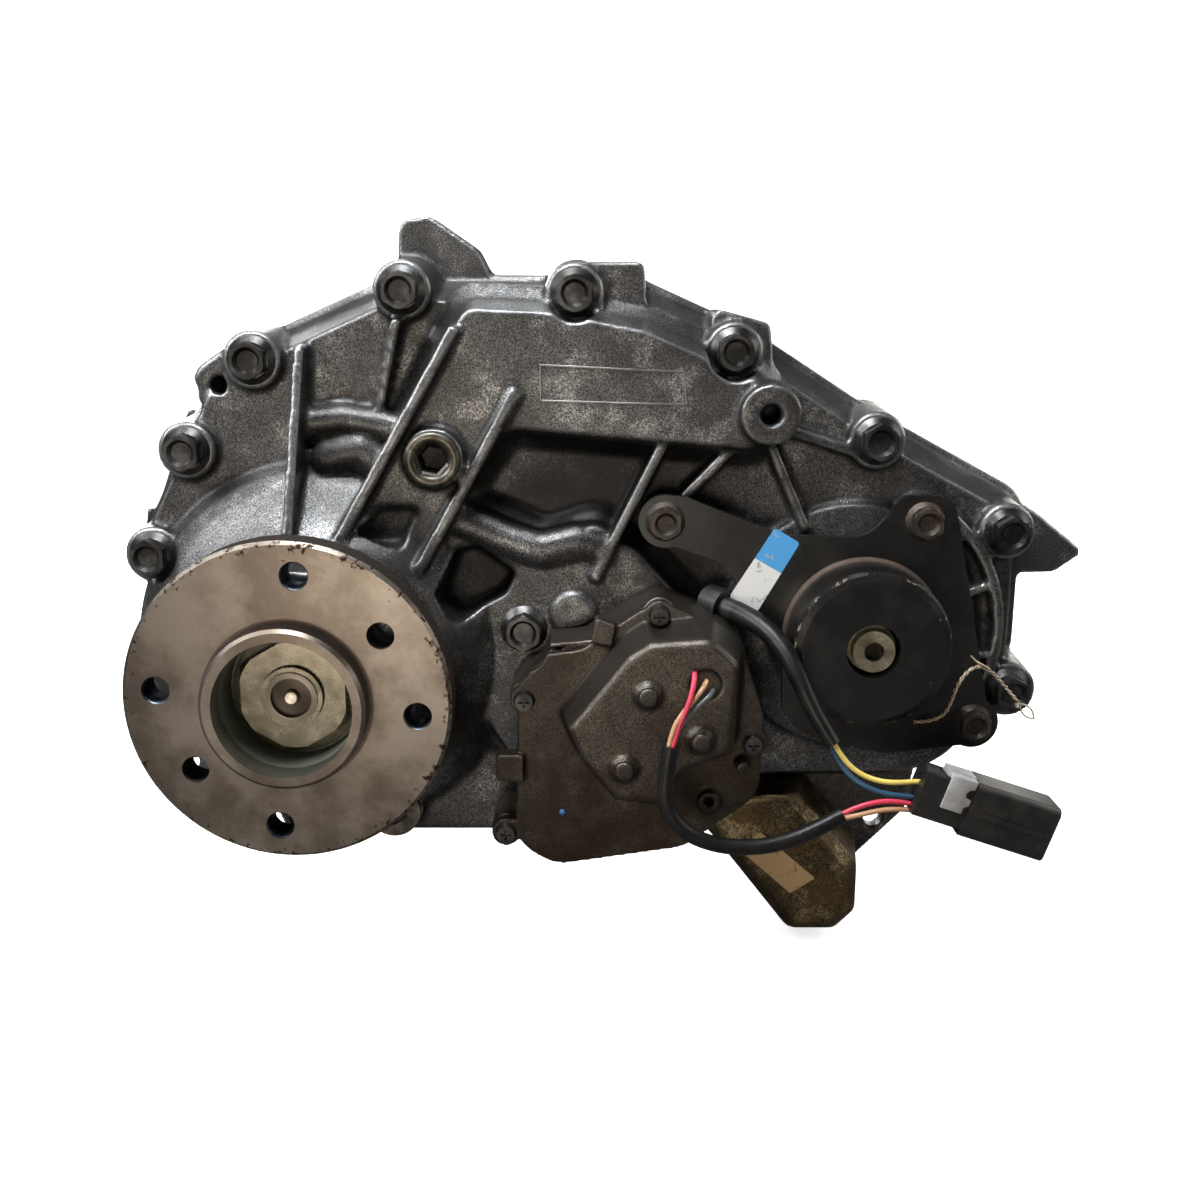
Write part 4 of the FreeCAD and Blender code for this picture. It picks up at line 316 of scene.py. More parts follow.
def makeCastSkin(noises, wear):
    # sand-cast skin: hollows darkened by dirt and painted shade, silver specks where the grain is rubbed, edges
    # lightened by wear and a painted highlight, stains in broad patches
    group, given, out = newGroup("castSkin", (
        ("Vector", "Vector", None), ("Edge", "Float", 0.5), ("Base", "Color", (0.1, 0.1, 0.1, 1.0)),
        ("Dark", "Color", (0.02, 0.02, 0.02, 1.0)), ("Bright", "Color", (0.5, 0.5, 0.5, 1.0)),
        ("Stain", "Color", (0.1, 0.06, 0.03, 1.0)), ("Stain Amount", "Float", 0.3),
        ("Rub", "Float", 0.5), ("Grain", "Float", 1.0)),
        (("Color", "Color"), ("Roughness", "Float"), ("Height", "Float")))
    size = addNode(group, "ShaderNodeVectorMath", {0: given["Vector"]}, operation="SCALE")
    group.links.new(times(group, given["Grain"], 1 / mm), size.inputs["Scale"])
    noise = {name: noiseOf(group, size.outputs[0], *values) for name, values in noises.items()}
    rubbed = step(group, noise["patch"], *wear["rubbed"])
    # high pointiness marks the ridges: they are lightened as worn edges and as a painted highlight
    ridge = step(group, given["Edge"], *wear["ridge"])
    # low pointiness marks the hollows: they get dirt and painted shade, and are rougher
    pitAndShade = step(group, given["Edge"], *wear["pitAndShade"])
    share = times(group, rubbed, times(group, given["Rub"], wear["rubShare"]))
    speckFloor = calc(group, "SUBTRACT", wear["speckFloor"], share)
    silver = step(group, calc(group, "SUBTRACT", noise["specks"], speckFloor), *wear["silver"])
    # worn mixes rubbed silver specks with the ridges' wear and painted highlight
    worn = calc(group, "MAXIMUM", times(group, silver, wear["silverShare"]),
                times(group, ridge, times(group, noise["grain"], wear["ridgeShare"])))
    colour = mixColour(group, step(group, noise["grain"], *wear["base"]), given["Dark"], given["Base"])
    stained = times(group, step(group, noise["broad"], *wear["stain"]), given["Stain Amount"])
    colour = mixColour(group, stained, colour, given["Stain"])
    colour = mixColour(group, worn, colour, given["Bright"])
    # dirt and painted shade: the hollows darkened towards Dark
    colour = mixColour(group, times(group, pitAndShade, wear["pitShadeDark"]), colour, given["Dark"])
    group.links.new(colour, out["Color"])
    rough = calc(group, "ADD", wear["rough"], times(group, pitAndShade, wear["pitRough"]))
    group.links.new(calc(group, "SUBTRACT", rough, times(group, worn, wear["wornSmooth"])), out["Roughness"])
    group.links.new(calc(group, "ADD", times(group, noise["grain"], wear["grainHeight"]),
                         times(group, noise["fine"], wear["fineHeight"])), out["Height"])
    return group


grimeShape = {"detail": 6.0, "rough": 0.65, "limits": (0.44, 0.64)}
turningNoise = {"scale": 1.0, "detail": 3.0, "rough": 0.7}


def makeGrime(shape):
    # dust and oil film in blotches
    group, given, out = newGroup("grime", (
        ("Vector", "Vector", None), ("Color", "Color", None), ("Dirt", "Color", (0.03, 0.024, 0.018, 1.0)),
        ("Amount", "Float", 0.5), ("Scale", "Float", 90.0)),
        (("Color", "Color"), ("Mask", "Float")))
    spots = noiseOf(group, given["Vector"], given["Scale"], shape["detail"], shape["rough"])
    mask = times(group, step(group, spots, *shape["limits"]), given["Amount"])
    group.links.new(mixColour(group, mask, given["Color"], given["Dirt"]), out["Color"])
    group.links.new(mask, out["Mask"])
    return group


def makeTurning(noise):
    # fine rings left by a lathe, about the Y axis of the given coordinates; pitch and radius in mm
    group, given, out = newGroup("turning", (("Vector", "Vector", None), ("Pitch", "Float", 1.0)),
                                 (("Lines", "Float"), ("Radius", "Float")))
    flat = addNode(group, "ShaderNodeVectorMath", {0: given["Vector"], 1: (1.0, 0.0, 1.0)},
                   operation="MULTIPLY")
    length = addNode(group, "ShaderNodeVectorMath", {0: flat.outputs[0]}, operation="LENGTH")
    radius = times(group, length.outputs["Value"], 1 / mm)
    along = addNode(group, "ShaderNodeCombineXYZ", {"X": calc(group, "DIVIDE", radius, given["Pitch"])})
    group.links.new(noiseOf(group, along.outputs[0], **noise), out["Lines"])
    group.links.new(radius, out["Radius"])
    return group


castSkin = makeCastSkin(castNoise, castWear)
grime, turning = makeGrime(grimeShape), makeTurning(turningNoise)


def ringsAbout(tree, place, centre):
    # lathe rings about a centre (x, z) in mm
    middle = addNode(tree, "ShaderNodeVectorMath", {0: place, 1: (-centre[0] * mm, 0.0, -centre[1] * mm)},
                     operation="ADD")
    return useGroup(tree, turning, {"Vector": middle.outputs[0]})


def newMaterial(name, **shaderValues):
    material = bpy.data.materials.new(name)
    material.use_nodes = True
    tree = material.node_tree
    shader = tree.nodes["Principled BSDF"]
    for key, value in shaderValues.items():
        shader.inputs[key.replace("_", " ")].default_value = value
    place = tree.nodes.new("ShaderNodeTexCoord").outputs["Object"]
    return material, tree, shader, place


def bumpFrom(tree, shader, height, strength, depth):
    # depth in mm
    bump = addNode(tree, "ShaderNodeBump", {"Height": height, "Strength": strength, "Distance": depth * mm})
    tree.links.new(bump.outputs["Normal"], shader.inputs["Normal"])


castLooks = {
    "rearCast": {"Base": grey(0.15), "Dark": grey(0.022, 0.01), "Bright": grey(0.62),
                 "Stain": (0.038, 0.037, 0.035, 1.0), "Stain Amount": 0.4, "Rub": 0.85, "Grain": 1.15},
    "frontCast": {"Base": grey(0.10, 0.03), "Dark": grey(0.03, 0.06), "Bright": grey(0.36, 0.03),
                  "Stain": (0.08, 0.055, 0.035, 1.0), "Stain Amount": 0.5, "Rub": 0.7, "Grain": 1.0},
    "footCast": {"Base": (0.165, 0.115, 0.052, 1.0), "Dark": (0.024, 0.015, 0.006, 1.0),
                 "Bright": (0.75, 0.60, 0.34, 1.0), "Stain": (0.13, 0.08, 0.03, 1.0),
                 "Stain Amount": 0.6, "Rub": 1.25, "Grain": 0.9},
    "actuatorCast": {"Base": (0.115, 0.102, 0.085, 1.0), "Dark": (0.020, 0.015, 0.011, 1.0),
                     "Bright": (0.30, 0.28, 0.25, 1.0), "Stain": (0.022, 0.012, 0.006, 1.0),
                     "Stain Amount": 0.6, "Rub": 0.6, "Grain": 1.6},
}
castGrime = {"Dirt": (0.022, 0.020, 0.018, 1.0), "Amount": 0.45, "Scale": 35.0}
# dark brown blotches, more of them towards the bottom, with their limits on Z in mm
lowBlotches = {"limits": (12.0, -62.0), "blotches": (45.0, 4.0), "blotchLimits": (0.25, 0.6), "amount": 0.75,
          "colour": (0.02, 0.011, 0.005, 1.0)}
# painted shade: a near-black film over the hollows right of the main axis, stronger deeper in, in mm
hollowShade = {"centre": (125.0, -130.0, 40.0), "limits": (116.0, 58.0), "depth": (-150.0, -142.0),
           "ripple": 30.0, "rippleNoise": (30.0, 3.0), "amount": 0.95, "colour": (0.010, 0.0095, 0.009, 1.0)}


def withLowBlotches(tree, place, colour):
    low = step(tree, partOf(tree, place, "Z"), *inMetres(lowBlotches["limits"]))
    blotches = step(tree, noiseOf(tree, place, *lowBlotches["blotches"]), *lowBlotches["blotchLimits"])
    return mixColour(tree, times(tree, times(tree, low, blotches), lowBlotches["amount"]), colour, lowBlotches["colour"])


def withHollowShade(tree, place, colour):
    # painted shade, strongest near the centre and deeper in
    spot = addNode(tree, "ShaderNodeVectorMath", {0: place, 1: inMetres(hollowShade["centre"])},
                   operation="DISTANCE")
    ripple = times(tree, noiseOf(tree, place, *hollowShade["rippleNoise"]), hollowShade["ripple"] * mm)
    near = step(tree, calc(tree, "ADD", spot.outputs["Value"], ripple), *inMetres(hollowShade["limits"]))
    deep = step(tree, partOf(tree, place, "Y"), *inMetres(hollowShade["depth"]))
    return mixColour(tree, times(tree, times(tree, near, deep), hollowShade["amount"]), colour, hollowShade["colour"])


skins = {}
castCoats = {"actuatorCast": withLowBlotches, "rearCast": withHollowShade}
for castName, castValues in castLooks.items():
    material, tree, shader, place = newMaterial(castName, Metallic=0.78, Specular_IOR_Level=0.5)
    edge = tree.nodes.new("ShaderNodeNewGeometry").outputs["Pointiness"]
    skin = useGroup(tree, castSkin, {"Vector": place, "Edge": edge, **castValues})
    colour = useGroup(tree, grime, {"Vector": place, "Color": skin["Color"], **castGrime})["Color"]
    if castName in castCoats:
        colour = castCoats[castName](tree, place, colour)
    tree.links.new(colour, shader.inputs["Base Color"])
    tree.links.new(skin["Roughness"], shader.inputs["Roughness"])
    bumpFrom(tree, shader, skin["Height"], strength=0.4, depth=0.4)
    skins[castName] = material


steels = {
    "boltSteel": {"base": grey(0.12, -0.01), "dark": grey(0.028), "metallic": 0.85, "rough": 0.22, "dirt": 0.55},
    "plugSteel": {"base": (0.22, 0.205, 0.175, 1.0), "dark": (0.07, 0.062, 0.05, 1.0), "metallic": 0.9,
                  "rough": 0.28, "dirt": 0.6},
    "bracketBolt": {"base": (0.12, 0.09, 0.07, 1.0), "dark": grey(0.04, 0.1), "metallic": 0.8,
                    "rough": 0.38, "dirt": 0.6},
    "brightSteel": {"base": grey(0.55, 0.03), "dark": grey(0.28, 0.05), "metallic": 1.0, "rough": 0.2,
                    "dirt": 0.25},
    "socketSteel": {"base": (0.42, 0.39, 0.29, 1.0), "dark": (0.20, 0.17, 0.11, 1.0), "metallic": 0.9,
                    "rough": 0.3, "dirt": 0.4},
    "gearSteel": {"base": grey(0.42), "dark": grey(0.22), "metallic": 1.0, "rough": 0.22, "dirt": 0.15},
    "chainSteel": {"base": grey(0.24), "dark": grey(0.1), "metallic": 1.0, "rough": 0.3, "dirt": 0.3},
    "threadSteel": {"base": (0.30, 0.36, 0.42, 1.0), "dark": (0.07, 0.08, 0.10, 1.0), "metallic": 1.0,
                    "rough": 0.25, "dirt": 0.5},
    "twistedWire": {"base": (0.75, 0.66, 0.54, 1.0), "dark": (0.40, 0.30, 0.20, 1.0), "metallic": 0.7,
                    "rough": 0.3, "dirt": 0.2},
}
steelWear = {"spots": (900.0, 4.0, 0.65), "spotLimits": (0.35, 0.7), "spotShare": 0.5,
             "broad": (60.0, 4.0, 0.6), "broadLimits": (0.38, 0.64), "dirtScale": 160.0, "roughSpread": 0.25}


def steelLook(name, base, dark, metallic, rough, dirt):
    material, tree, shader, place = newMaterial(name, Metallic=metallic)
    spots = noiseOf(tree, place, *steelWear["spots"])
    broad = noiseOf(tree, place, *steelWear["broad"])
    colour = mixColour(tree, step(tree, broad, *steelWear["broadLimits"]), dark, base)
    spotted = mixColour(tree, steelWear["spotShare"], colour, dark)
    colour = mixColour(tree, step(tree, spots, *steelWear["spotLimits"]), spotted, colour)
    dirty = useGroup(tree, grime, {"Vector": place, "Color": colour, "Amount": dirt,
                                   "Scale": steelWear["dirtScale"]})
    tree.links.new(dirty["Color"], shader.inputs["Base Color"])
    spread = times(tree, broad, steelWear["roughSpread"])
    tree.links.new(calc(tree, "ADD", spread, rough), shader.inputs["Roughness"])
    bumpFrom(tree, shader, spots, strength=0.25, depth=0.2)
    return material


for steelName, steelValues in steels.items():
    skins[steelName] = steelLook(steelName, **steelValues)

damperAxis, plugAxis = (249.4, 11.1), (55.1, 93.1)  # x and z in mm
# painted shade in the sockets in the middle of a head, with their radii in mm
socketShades = {"socketSteel": {"centre": damperAxis, "radii": (4.7, 4.0), "dark": (0.03, 0.026, 0.02, 1.0)},
           "plugSteel": {"centre": plugAxis, "radii": (7.6, 6.6), "dark": (0.03, 0.028, 0.024, 1.0)}}


def shadeSocketMiddle(material, setup):
    tree, shader = material.node_tree, material.node_tree.nodes["Principled BSDF"]
    place = tree.nodes.new("ShaderNodeTexCoord").outputs["Object"]
    rings = ringsAbout(tree, place, setup["centre"])
    metal = shader.inputs["Base Color"].links[0].from_socket
    # painted shade inside the socket's radius
    colour = mixColour(tree, step(tree, rings["Radius"], *setup["radii"]), metal, setup["dark"])
    tree.links.new(colour, shader.inputs["Base Color"])


for socketName, socketSetup in socketShades.items():
    shadeSocketMiddle(skins[socketName], socketSetup)


# marks on the rear flange: radii and stations in mm
flangeMarks = {
    "cloud": (38.0, 5.0, 0.62), "cloudLimits": (0.35, 0.68),
    "face": ((0.115, 0.097, 0.08, 1.0), (0.25, 0.225, 0.195, 1.0)),
    "pitch": 0.55, "lineLimits": (0.3, 0.75), "lineShare": 0.4, "lines": (0.12, 0.09, 0.07, 1.0),
    "pits": (330.0, 5.0, 0.7), "rim": (60.5, 67.2), "rimShare": 0.16, "rustLimits": (0.68, 0.76),
    "rust": (0.03, 0.018, 0.012, 1.0),
    "sideAt": (-218.8, -217.6), "side": ((0.012, 0.01, 0.01, 1.0), (0.07, 0.055, 0.045, 1.0)),
    "boreRadii": (29.6, 29.0), "boreAt": (-229.9, -229.2),
    "bore": ((0.16, 0.17, 0.13, 1.0), (0.34, 0.35, 0.29, 1.0)),
    "grooveIn": (33.6, 34.2), "grooveOut": (36.4, 35.4), "grooveShare": 0.75, "groove": (0.05, 0.035, 0.03, 1.0),
    "rough": 0.24, "roughSpread": 0.2, "dull": 0.35, "lineHeight": 0.3,
}


def flangeLook(marks):
    # turned face with brown age, a dark pitted rim, a dark side and painted shade in the groove
    material, tree, shader, place = newMaterial("flangeFace", Metallic=0.9)
    rings = useGroup(tree, turning, {"Vector": place, "Pitch": marks["pitch"]})
    cloud = noiseOf(tree, place, *marks["cloud"])
    pits = noiseOf(tree, place, *marks["pits"])
    base = mixColour(tree, step(tree, cloud, *marks["cloudLimits"]), *marks["face"])
    lined = mixColour(tree, marks["lineShare"], base, marks["lines"])
    base = mixColour(tree, step(tree, rings["Lines"], *marks["lineLimits"]), lined, base)
    rim = times(tree, step(tree, rings["Radius"], *marks["rim"]), marks["rimShare"])
    rust = step(tree, calc(tree, "ADD", pits, rim), *marks["rustLimits"])
    depth = partOf(tree, place, "Y")
    side = step(tree, depth, *inMetres(marks["sideAt"]))
    colour = mixColour(tree, rust, base, marks["rust"])
    colour = mixColour(tree, side, colour, mixColour(tree, pits, *marks["side"]))
    bore = times(tree, step(tree, rings["Radius"], *marks["boreRadii"]),
                 step(tree, depth, *inMetres(marks["boreAt"])))
    colour = mixColour(tree, bore, colour, mixColour(tree, cloud, *marks["bore"]))
    # painted shade in the groove of the face
    groove = times(tree, step(tree, rings["Radius"], *marks["grooveIn"]),
                   step(tree, rings["Radius"], *marks["grooveOut"]))
    colour = mixColour(tree, times(tree, groove, marks["grooveShare"]), colour, marks["groove"])
    tree.links.new(colour, shader.inputs["Base Color"])
    rough = calc(tree, "ADD", times(tree, cloud, marks["roughSpread"]), marks["rough"])
    dull = times(tree, calc(tree, "MAXIMUM", rust, side), marks["dull"])
    tree.links.new(calc(tree, "ADD", rough, dull), shader.inputs["Roughness"])
    height = calc(tree, "SUBTRACT", times(tree, rings["Lines"], marks["lineHeight"]), rust)
    bumpFrom(tree, shader, height, strength=0.3, depth=0.3)
    return material


nutMarks = {"pitch": 0.7, "cloud": (140.0, 4.0, 0.6), "rough": 0.16, "roughSpread": 0.2,
            "metal": ((0.10, 0.09, 0.06, 1.0), (0.36, 0.33, 0.26, 1.0)),
            "washerAt": (-201.8, -200.8), "washer": (0.05, 0.05, 0.035, 1.0),
            "seamRadii": (13.6, 13.1), "seamAt": (-211.8, -210.5), "seam": (0.02, 0.02, 0.015, 1.0)}


def nutLook(marks):
    # bright hexagon and collar in front of a dark washer
    material, tree, shader, place = newMaterial("nutSteel", Metallic=1.0)
    depth = partOf(tree, place, "Y")
    rings = useGroup(tree, turning, {"Vector": place, "Pitch": marks["pitch"]})
    cloud = noiseOf(tree, place, *marks["cloud"])
    metal = mixColour(tree, cloud, *marks["metal"])
    colour = mixColour(tree, step(tree, depth, *inMetres(marks["washerAt"])), metal, marks["washer"])
    seam = times(tree, step(tree, rings["Radius"], *marks["seamRadii"]),
                 step(tree, depth, *inMetres(marks["seamAt"])))
    colour = mixColour(tree, seam, colour, marks["seam"])
    tree.links.new(colour, shader.inputs["Base Color"])
    rough = calc(tree, "ADD", times(tree, cloud, marks["roughSpread"]), marks["rough"])
    tree.links.new(rough, shader.inputs["Roughness"])
    bumpFrom(tree, shader, cloud, strength=0.2, depth=0.2)
    return material


shaftMarks = {"pitch": 0.5, "edgeRadii": (8.3, 8.9), "pinRadii": (2.6, 2.2), "pin": (0.75, 0.70, 0.60, 1.0),
              "recess": ((0.012, 0.01, 0.008, 1.0), (0.10, 0.085, 0.07, 1.0)),
              "rim": ((0.05, 0.045, 0.035, 1.0), (0.30, 0.27, 0.22, 1.0))}


def shaftLook(marks):
    # bright rim, painted shade in the recess and bright pin at the shaft end
    material, tree, shader, place = newMaterial("shaftSteel", Metallic=1.0, Roughness=0.28)
    rings = useGroup(tree, turning, {"Vector": place, "Pitch": marks["pitch"]})
    # painted shade: the recess inside the rim is darkened
    recess = mixColour(tree, rings["Lines"], *marks["recess"])
    rim = mixColour(tree, rings["Lines"], *marks["rim"])
    colour = mixColour(tree, step(tree, rings["Radius"], *marks["edgeRadii"]), recess, rim)
    colour = mixColour(tree, step(tree, rings["Radius"], *marks["pinRadii"]), colour, marks["pin"])
    tree.links.new(colour, shader.inputs["Base Color"])
    bumpFrom(tree, shader, rings["Lines"], strength=0.3, depth=0.3)
    return material


cupMarks = {"paint": grey(0.0045), "orangePeel": (500.0, 3.0),
            "chips": (260.0, 5.0, 0.7), "chipLimits": (0.66, 0.72), "chip": (0.17, 0.14, 0.11, 1.0),
            "brimRadii": (33.2, 35.2), "brimAt": (-177.0, -180.0), "brimShare": 0.20,
            "dust": {"Dirt": (0.03, 0.025, 0.02, 1.0), "Amount": 0.25, "Scale": 60.0}}


def cupLook(marks):
    # black paint, chipped along the brim
    material, tree, shader, place = newMaterial("cupPaint", Roughness=0.26)
    rings = ringsAbout(tree, place, damperAxis)
    chips = noiseOf(tree, place, *marks["chips"])
    brim = times(tree, step(tree, rings["Radius"], *marks["brimRadii"]),
                 step(tree, partOf(tree, place, "Y"), *inMetres(marks["brimAt"])))
    chipped = calc(tree, "ADD", chips, times(tree, brim, marks["brimShare"]))
    worn = step(tree, chipped, *marks["chipLimits"])
    painted = mixColour(tree, worn, marks["paint"], marks["chip"])
    dusty = useGroup(tree, grime, {"Vector": place, "Color": painted, **marks["dust"]})
    tree.links.new(dusty["Color"], shader.inputs["Base Color"])
    height = calc(tree, "SUBTRACT", noiseOf(tree, place, *marks["orangePeel"]), worn)
    bumpFrom(tree, shader, height, strength=0.2, depth=0.3)
    return material


skins["flangeFace"], skins["nutSteel"] = flangeLook(flangeMarks), nutLook(nutMarks)
skins["shaftSteel"], skins["cupPaint"] = shaftLook(shaftMarks), cupLook(cupMarks)

plastics = {
    "sleeveVinyl": {"base": grey(0.005), "rough": 0.3, "grain": 150.0, "dust": 0.06, "bump": 0.9, "gloss": 0.28},
    "connectorBlack": {"base": grey(0.007), "rough": 0.32, "grain": 1400.0, "dust": 0.12},
    "connectorGrey": {"base": grey(0.40), "rough": 0.35, "grain": 1400.0, "dust": 0.25},
    "blackPaint": {"base": grey(0.005), "rough": 0.22, "grain": 700.0, "dust": 0.07},
    "damperRubber": {"base": (0.055, 0.034, 0.022, 1.0), "rough": 0.6, "grain": 420.0, "bump": 0.5},
    "sealRubber": {"base": grey(0.02), "rough": 0.4, "grain": 500.0},
    "blueDot": {"base": (0.05, 0.2, 0.5, 1.0), "rough": 0.5, "grain": 900.0, "dust": 0.1},
}
wireColours = {
    "pink": (0.72, 0.045, 0.10, 1.0), "tan": (0.56, 0.31, 0.17, 1.0), "grey": (0.11, 0.13, 0.12, 1.0),
    "yellow": (0.78, 0.60, 0.14, 1.0), "blue": (0.02, 0.075, 0.14, 1.0),
}
for wireColour, value in wireColours.items():
    plastics["wire" + wireColour] = {"base": value, "rough": 0.3, "grain": 900.0, "dust": 0.12, "bump": 0.1}
plasticWear = {"cloud": (55.0, 4.0, 0.6), "cloudLimits": (0.3, 0.75), "shade": 0.72, "roughSpread": 0.2,
               "dirt": (0.09, 0.075, 0.055, 1.0), "dirtScale": 120.0}


def darker(colour, share):
    return tuple(c * share for c in colour[:3]) + (1.0,)


def plasticLook(name, base, rough, grain, dust=0.3, bump=0.15, gloss=0.5):
    material, tree, shader, place = newMaterial(name, Specular_IOR_Level=gloss)
    cloud = noiseOf(tree, place, *plasticWear["cloud"])
    shade = darker(base, plasticWear["shade"])
    colour = mixColour(tree, step(tree, cloud, *plasticWear["cloudLimits"]), shade, base)
    dusty = useGroup(tree, grime, {"Vector": place, "Color": colour, "Dirt": plasticWear["dirt"],
                                   "Amount": dust, "Scale": plasticWear["dirtScale"]})
    tree.links.new(dusty["Color"], shader.inputs["Base Color"])
    spread = times(tree, cloud, plasticWear["roughSpread"])
    tree.links.new(calc(tree, "ADD", spread, rough), shader.inputs["Roughness"])
    bumpFrom(tree, shader, noiseOf(tree, place, grain, detail=3.0, rough=0.6), strength=bump, depth=0.3)
    return material


for plasticName, plasticValues in plastics.items():
    skins[plasticName] = plasticLook(plasticName, **plasticValues)
lockPiece.data.materials.append(skins["connectorGrey"])
for wireName, piece in wirePieces.items():
    piece.data.materials.append(skins["wire" + wireName.split("At")[0]])
for piece in (sleeveA, sleeveB):
    piece.data.materials.append(skins["sleeveVinyl"])

# bare papers; band is the colour above the split, which is measured along a direction, in mm
paperRub = {"noise": (160.0, 5.0, 0.7), "limits": (0.60, 0.66), "shade": 0.55, "softness": 0.2}
papers = {
    "sticker": {"field": (0.66, 0.66, 0.64, 1.0), "band": (0.06, 0.30, 0.62, 1.0), "split": 140.8,
                "along": (0.5, 0.0, 0.866)},
    "footTape": {"field": (0.42, 0.28, 0.14, 1.0)},
}


def paperLook(name, field, band=None, split=0.0, along=(0.0, 0.0, 1.0)):
    # a plain paper with rubbed spots
    material, tree, shader, place = newMaterial(name, Roughness=0.45)
    colour = field
    if band:
        across = addNode(tree, "ShaderNodeVectorMath", {0: place, 1: along}, operation="DOT_PRODUCT")
        limits = inMetres((split - paperRub["softness"], split + paperRub["softness"]))
        colour = mixColour(tree, step(tree, across.outputs["Value"], *limits), field, band)
    rub = step(tree, noiseOf(tree, place, *paperRub["noise"]), *paperRub["limits"])
    colour = mixColour(tree, rub, colour, darker(field, paperRub["shade"]))
    tree.links.new(colour, shader.inputs["Base Color"])
    return material


for paperName, paperValues in papers.items():
    skins[paperName] = paperLook(paperName, **paperValues)
print("materials mixed")


# wall over the cam's room, where the draft leaves it too thin: x and z in mm
camWall = {"outline": ((106.6, 11.4), (112.0, 11.7), (124.5, 12.0), (126.0, 15.0), (119.0, 14.0), (106.6, 13.2)),
           "low": -147.5, "high": -174.6}


def closeCamWall(bm):
    slabForm(bm, camWall["outline"], camWall["low"], camWall["high"])


# castings: voxel in mm, rounds of smoothing, share of the faces kept
castPlan = {
    "rear_case": {"look": "rearCast", "slot": "cast_case", "voxel": 1.35, "rounding": 3, "keep": 0.36},
    "front_case": {"look": "frontCast", "slot": "cast_front", "voxel": 1.8, "rounding": 3, "keep": 0.4},
    "mount_foot": {"look": "footCast", "slot": "cast_foot", "voxel": 1.2, "rounding": 6, "keep": 0.6},
    "actuator_housing": {"look": "actuatorCast", "slot": "cast_actuator", "voxel": 0.9, "rounding": 4,
                         "keep": 0.5, "extras": closeCamWall},
    "actuator_cover": {"look": "actuatorCast", "slot": "cast_actuator", "voxel": 0.8, "rounding": 4, "keep": 0.5},
}


def castFrom(node, look, slot, voxel, rounding, keep, extras=None):
    # the node's own mesh, rounded as a mould leaves it
    bm = bmesh.new()
    bm.from_mesh(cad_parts[node].data)
    bmesh.ops.remove_doubles(bm, verts=bm.verts, dist=merge)
    if extras:
        extras(bm)
    mesh = bpy.data.meshes.new(node + "Cast")
    bm.to_mesh(mesh)
    bm.free()
    rough = bpy.data.objects.new(node + "Blank", mesh)
    bpy.context.collection.objects.link(rough)
    remesh = rough.modifiers.new("remesh", "REMESH")
    remesh.mode, remesh.voxel_size, remesh.use_smooth_shade = "VOXEL", voxel * mm, True
    relax = rough.modifiers.new("relax", "SMOOTH")
    relax.factor, relax.iterations = 0.5, rounding
    thin = rough.modifiers.new("thin", "DECIMATE")
    thin.ratio = keep
    done = bpy.data.meshes.new_from_object(rough.evaluated_get(bpy.context.evaluated_depsgraph_get()))
    bpy.data.objects.remove(rough)
    for face in done.polygons:
        face.use_smooth = True
    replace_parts(linkPiece(node + "Cast", done, "case", skins[look]), node)
    print(node, "cast,", len(done.polygons), "faces")


for castNode, plan in castPlan.items():
    castFrom(castNode, **plan)


# bare nameplate frame on the band
nameplate = {"corners": ((102.7, 133.7), (165.8, 130.6), (167.5, 116.3), (102.9, 118.2)),
             "low": -151.4, "high": -152.6, "bar": 0.9, "softEdge": 0.22}


def addNameplate(setup):
    bm = bmesh.new()
    corners = [Vector((x, 0.0, z)) for x, z in setup["corners"]]
    for start, end in zip(corners, corners[1:] + corners[:1]):
        along = (end - start).normalized()
        side = Vector((-along.z, 0.0, along.x)) * setup["bar"] / 2
        start, end = start - along * setup["bar"] / 2, end + along * setup["bar"] / 2
        slabForm(bm, [(p.x, p.z) for p in (start - side, end - side, end + side, start + side)],
                 setup["low"], setup["high"])
    softEdges(bm, setup["softEdge"])
    meshPiece("nameplateFrame", bm, "case", skins["rearCast"])


addNameplate(nameplate)


# fill plug with its chamfered ring and six-sided socket
fillPlug = {"station": -158.0, "turn": 12.0,
            "ring": ((6.9, 1.0), (7.1, 3.2), (8.3, 4.4), (9.6, 4.9), (11.2, 4.9), (12.3, 3.9), (12.5, 2.6),
                     (12.5, 0.0)),
            "socket": ((8.0, 3.6), (6.6, 2.8), (5.9, 0.4), (5.6, -5.5), (0.0, -6.5)), "sides": 6,
            "smoothUnder": 4e-6}  # square metres: the socket's larger faces stay flat


def addFillPlug(setup):
    bm = bmesh.new()
    lathe(bm, setup["ring"])
    lathe(bm, setup["socket"], setup["sides"])
    placed(bm, alongY(plugAxis[0], setup["station"], plugAxis[1], setup["turn"]))
    piece = meshPiece("fillPlug", bm, "case", skins["plugSteel"])
    for face in piece.data.polygons:
        face.use_smooth = face.area < setup["smoothUnder"]
    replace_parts(piece, "fill_plug")


addFillPlug(fillPlug)


# rubber ring of the damper, which stretches between its plate and the cup
rubberRing = {"station": -154.0, "plate": -154.2, "cup": -157.0, "steps": 72,
              "section": ((20.0, 0.1), (30.0, 0.1), (36.9, 0.1), (37.2, 0.6), (36.7, 1.2), (36.4, 1.8),
                          (36.7, 2.3), (36.4, 2.8), (35.9, 3.1), (30.0, 3.1), (20.0, 3.1), (20.0, 1.6),
                          (20.0, 0.1))}


def addRubberRing(setup):
    x, z = damperAxis
    bm = bmesh.new()
    lathe(bm, setup["section"], setup["steps"])
    placed(bm, alongY(x, setup["station"], z))
    bmesh.ops.recalc_face_normals(bm, faces=bm.faces)
    piece = meshPiece("rubberRing", bm, None, skins["damperRubber"])
    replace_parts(piece, "damper_rubber")
    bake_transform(piece)


addRubberRing(rubberRing)


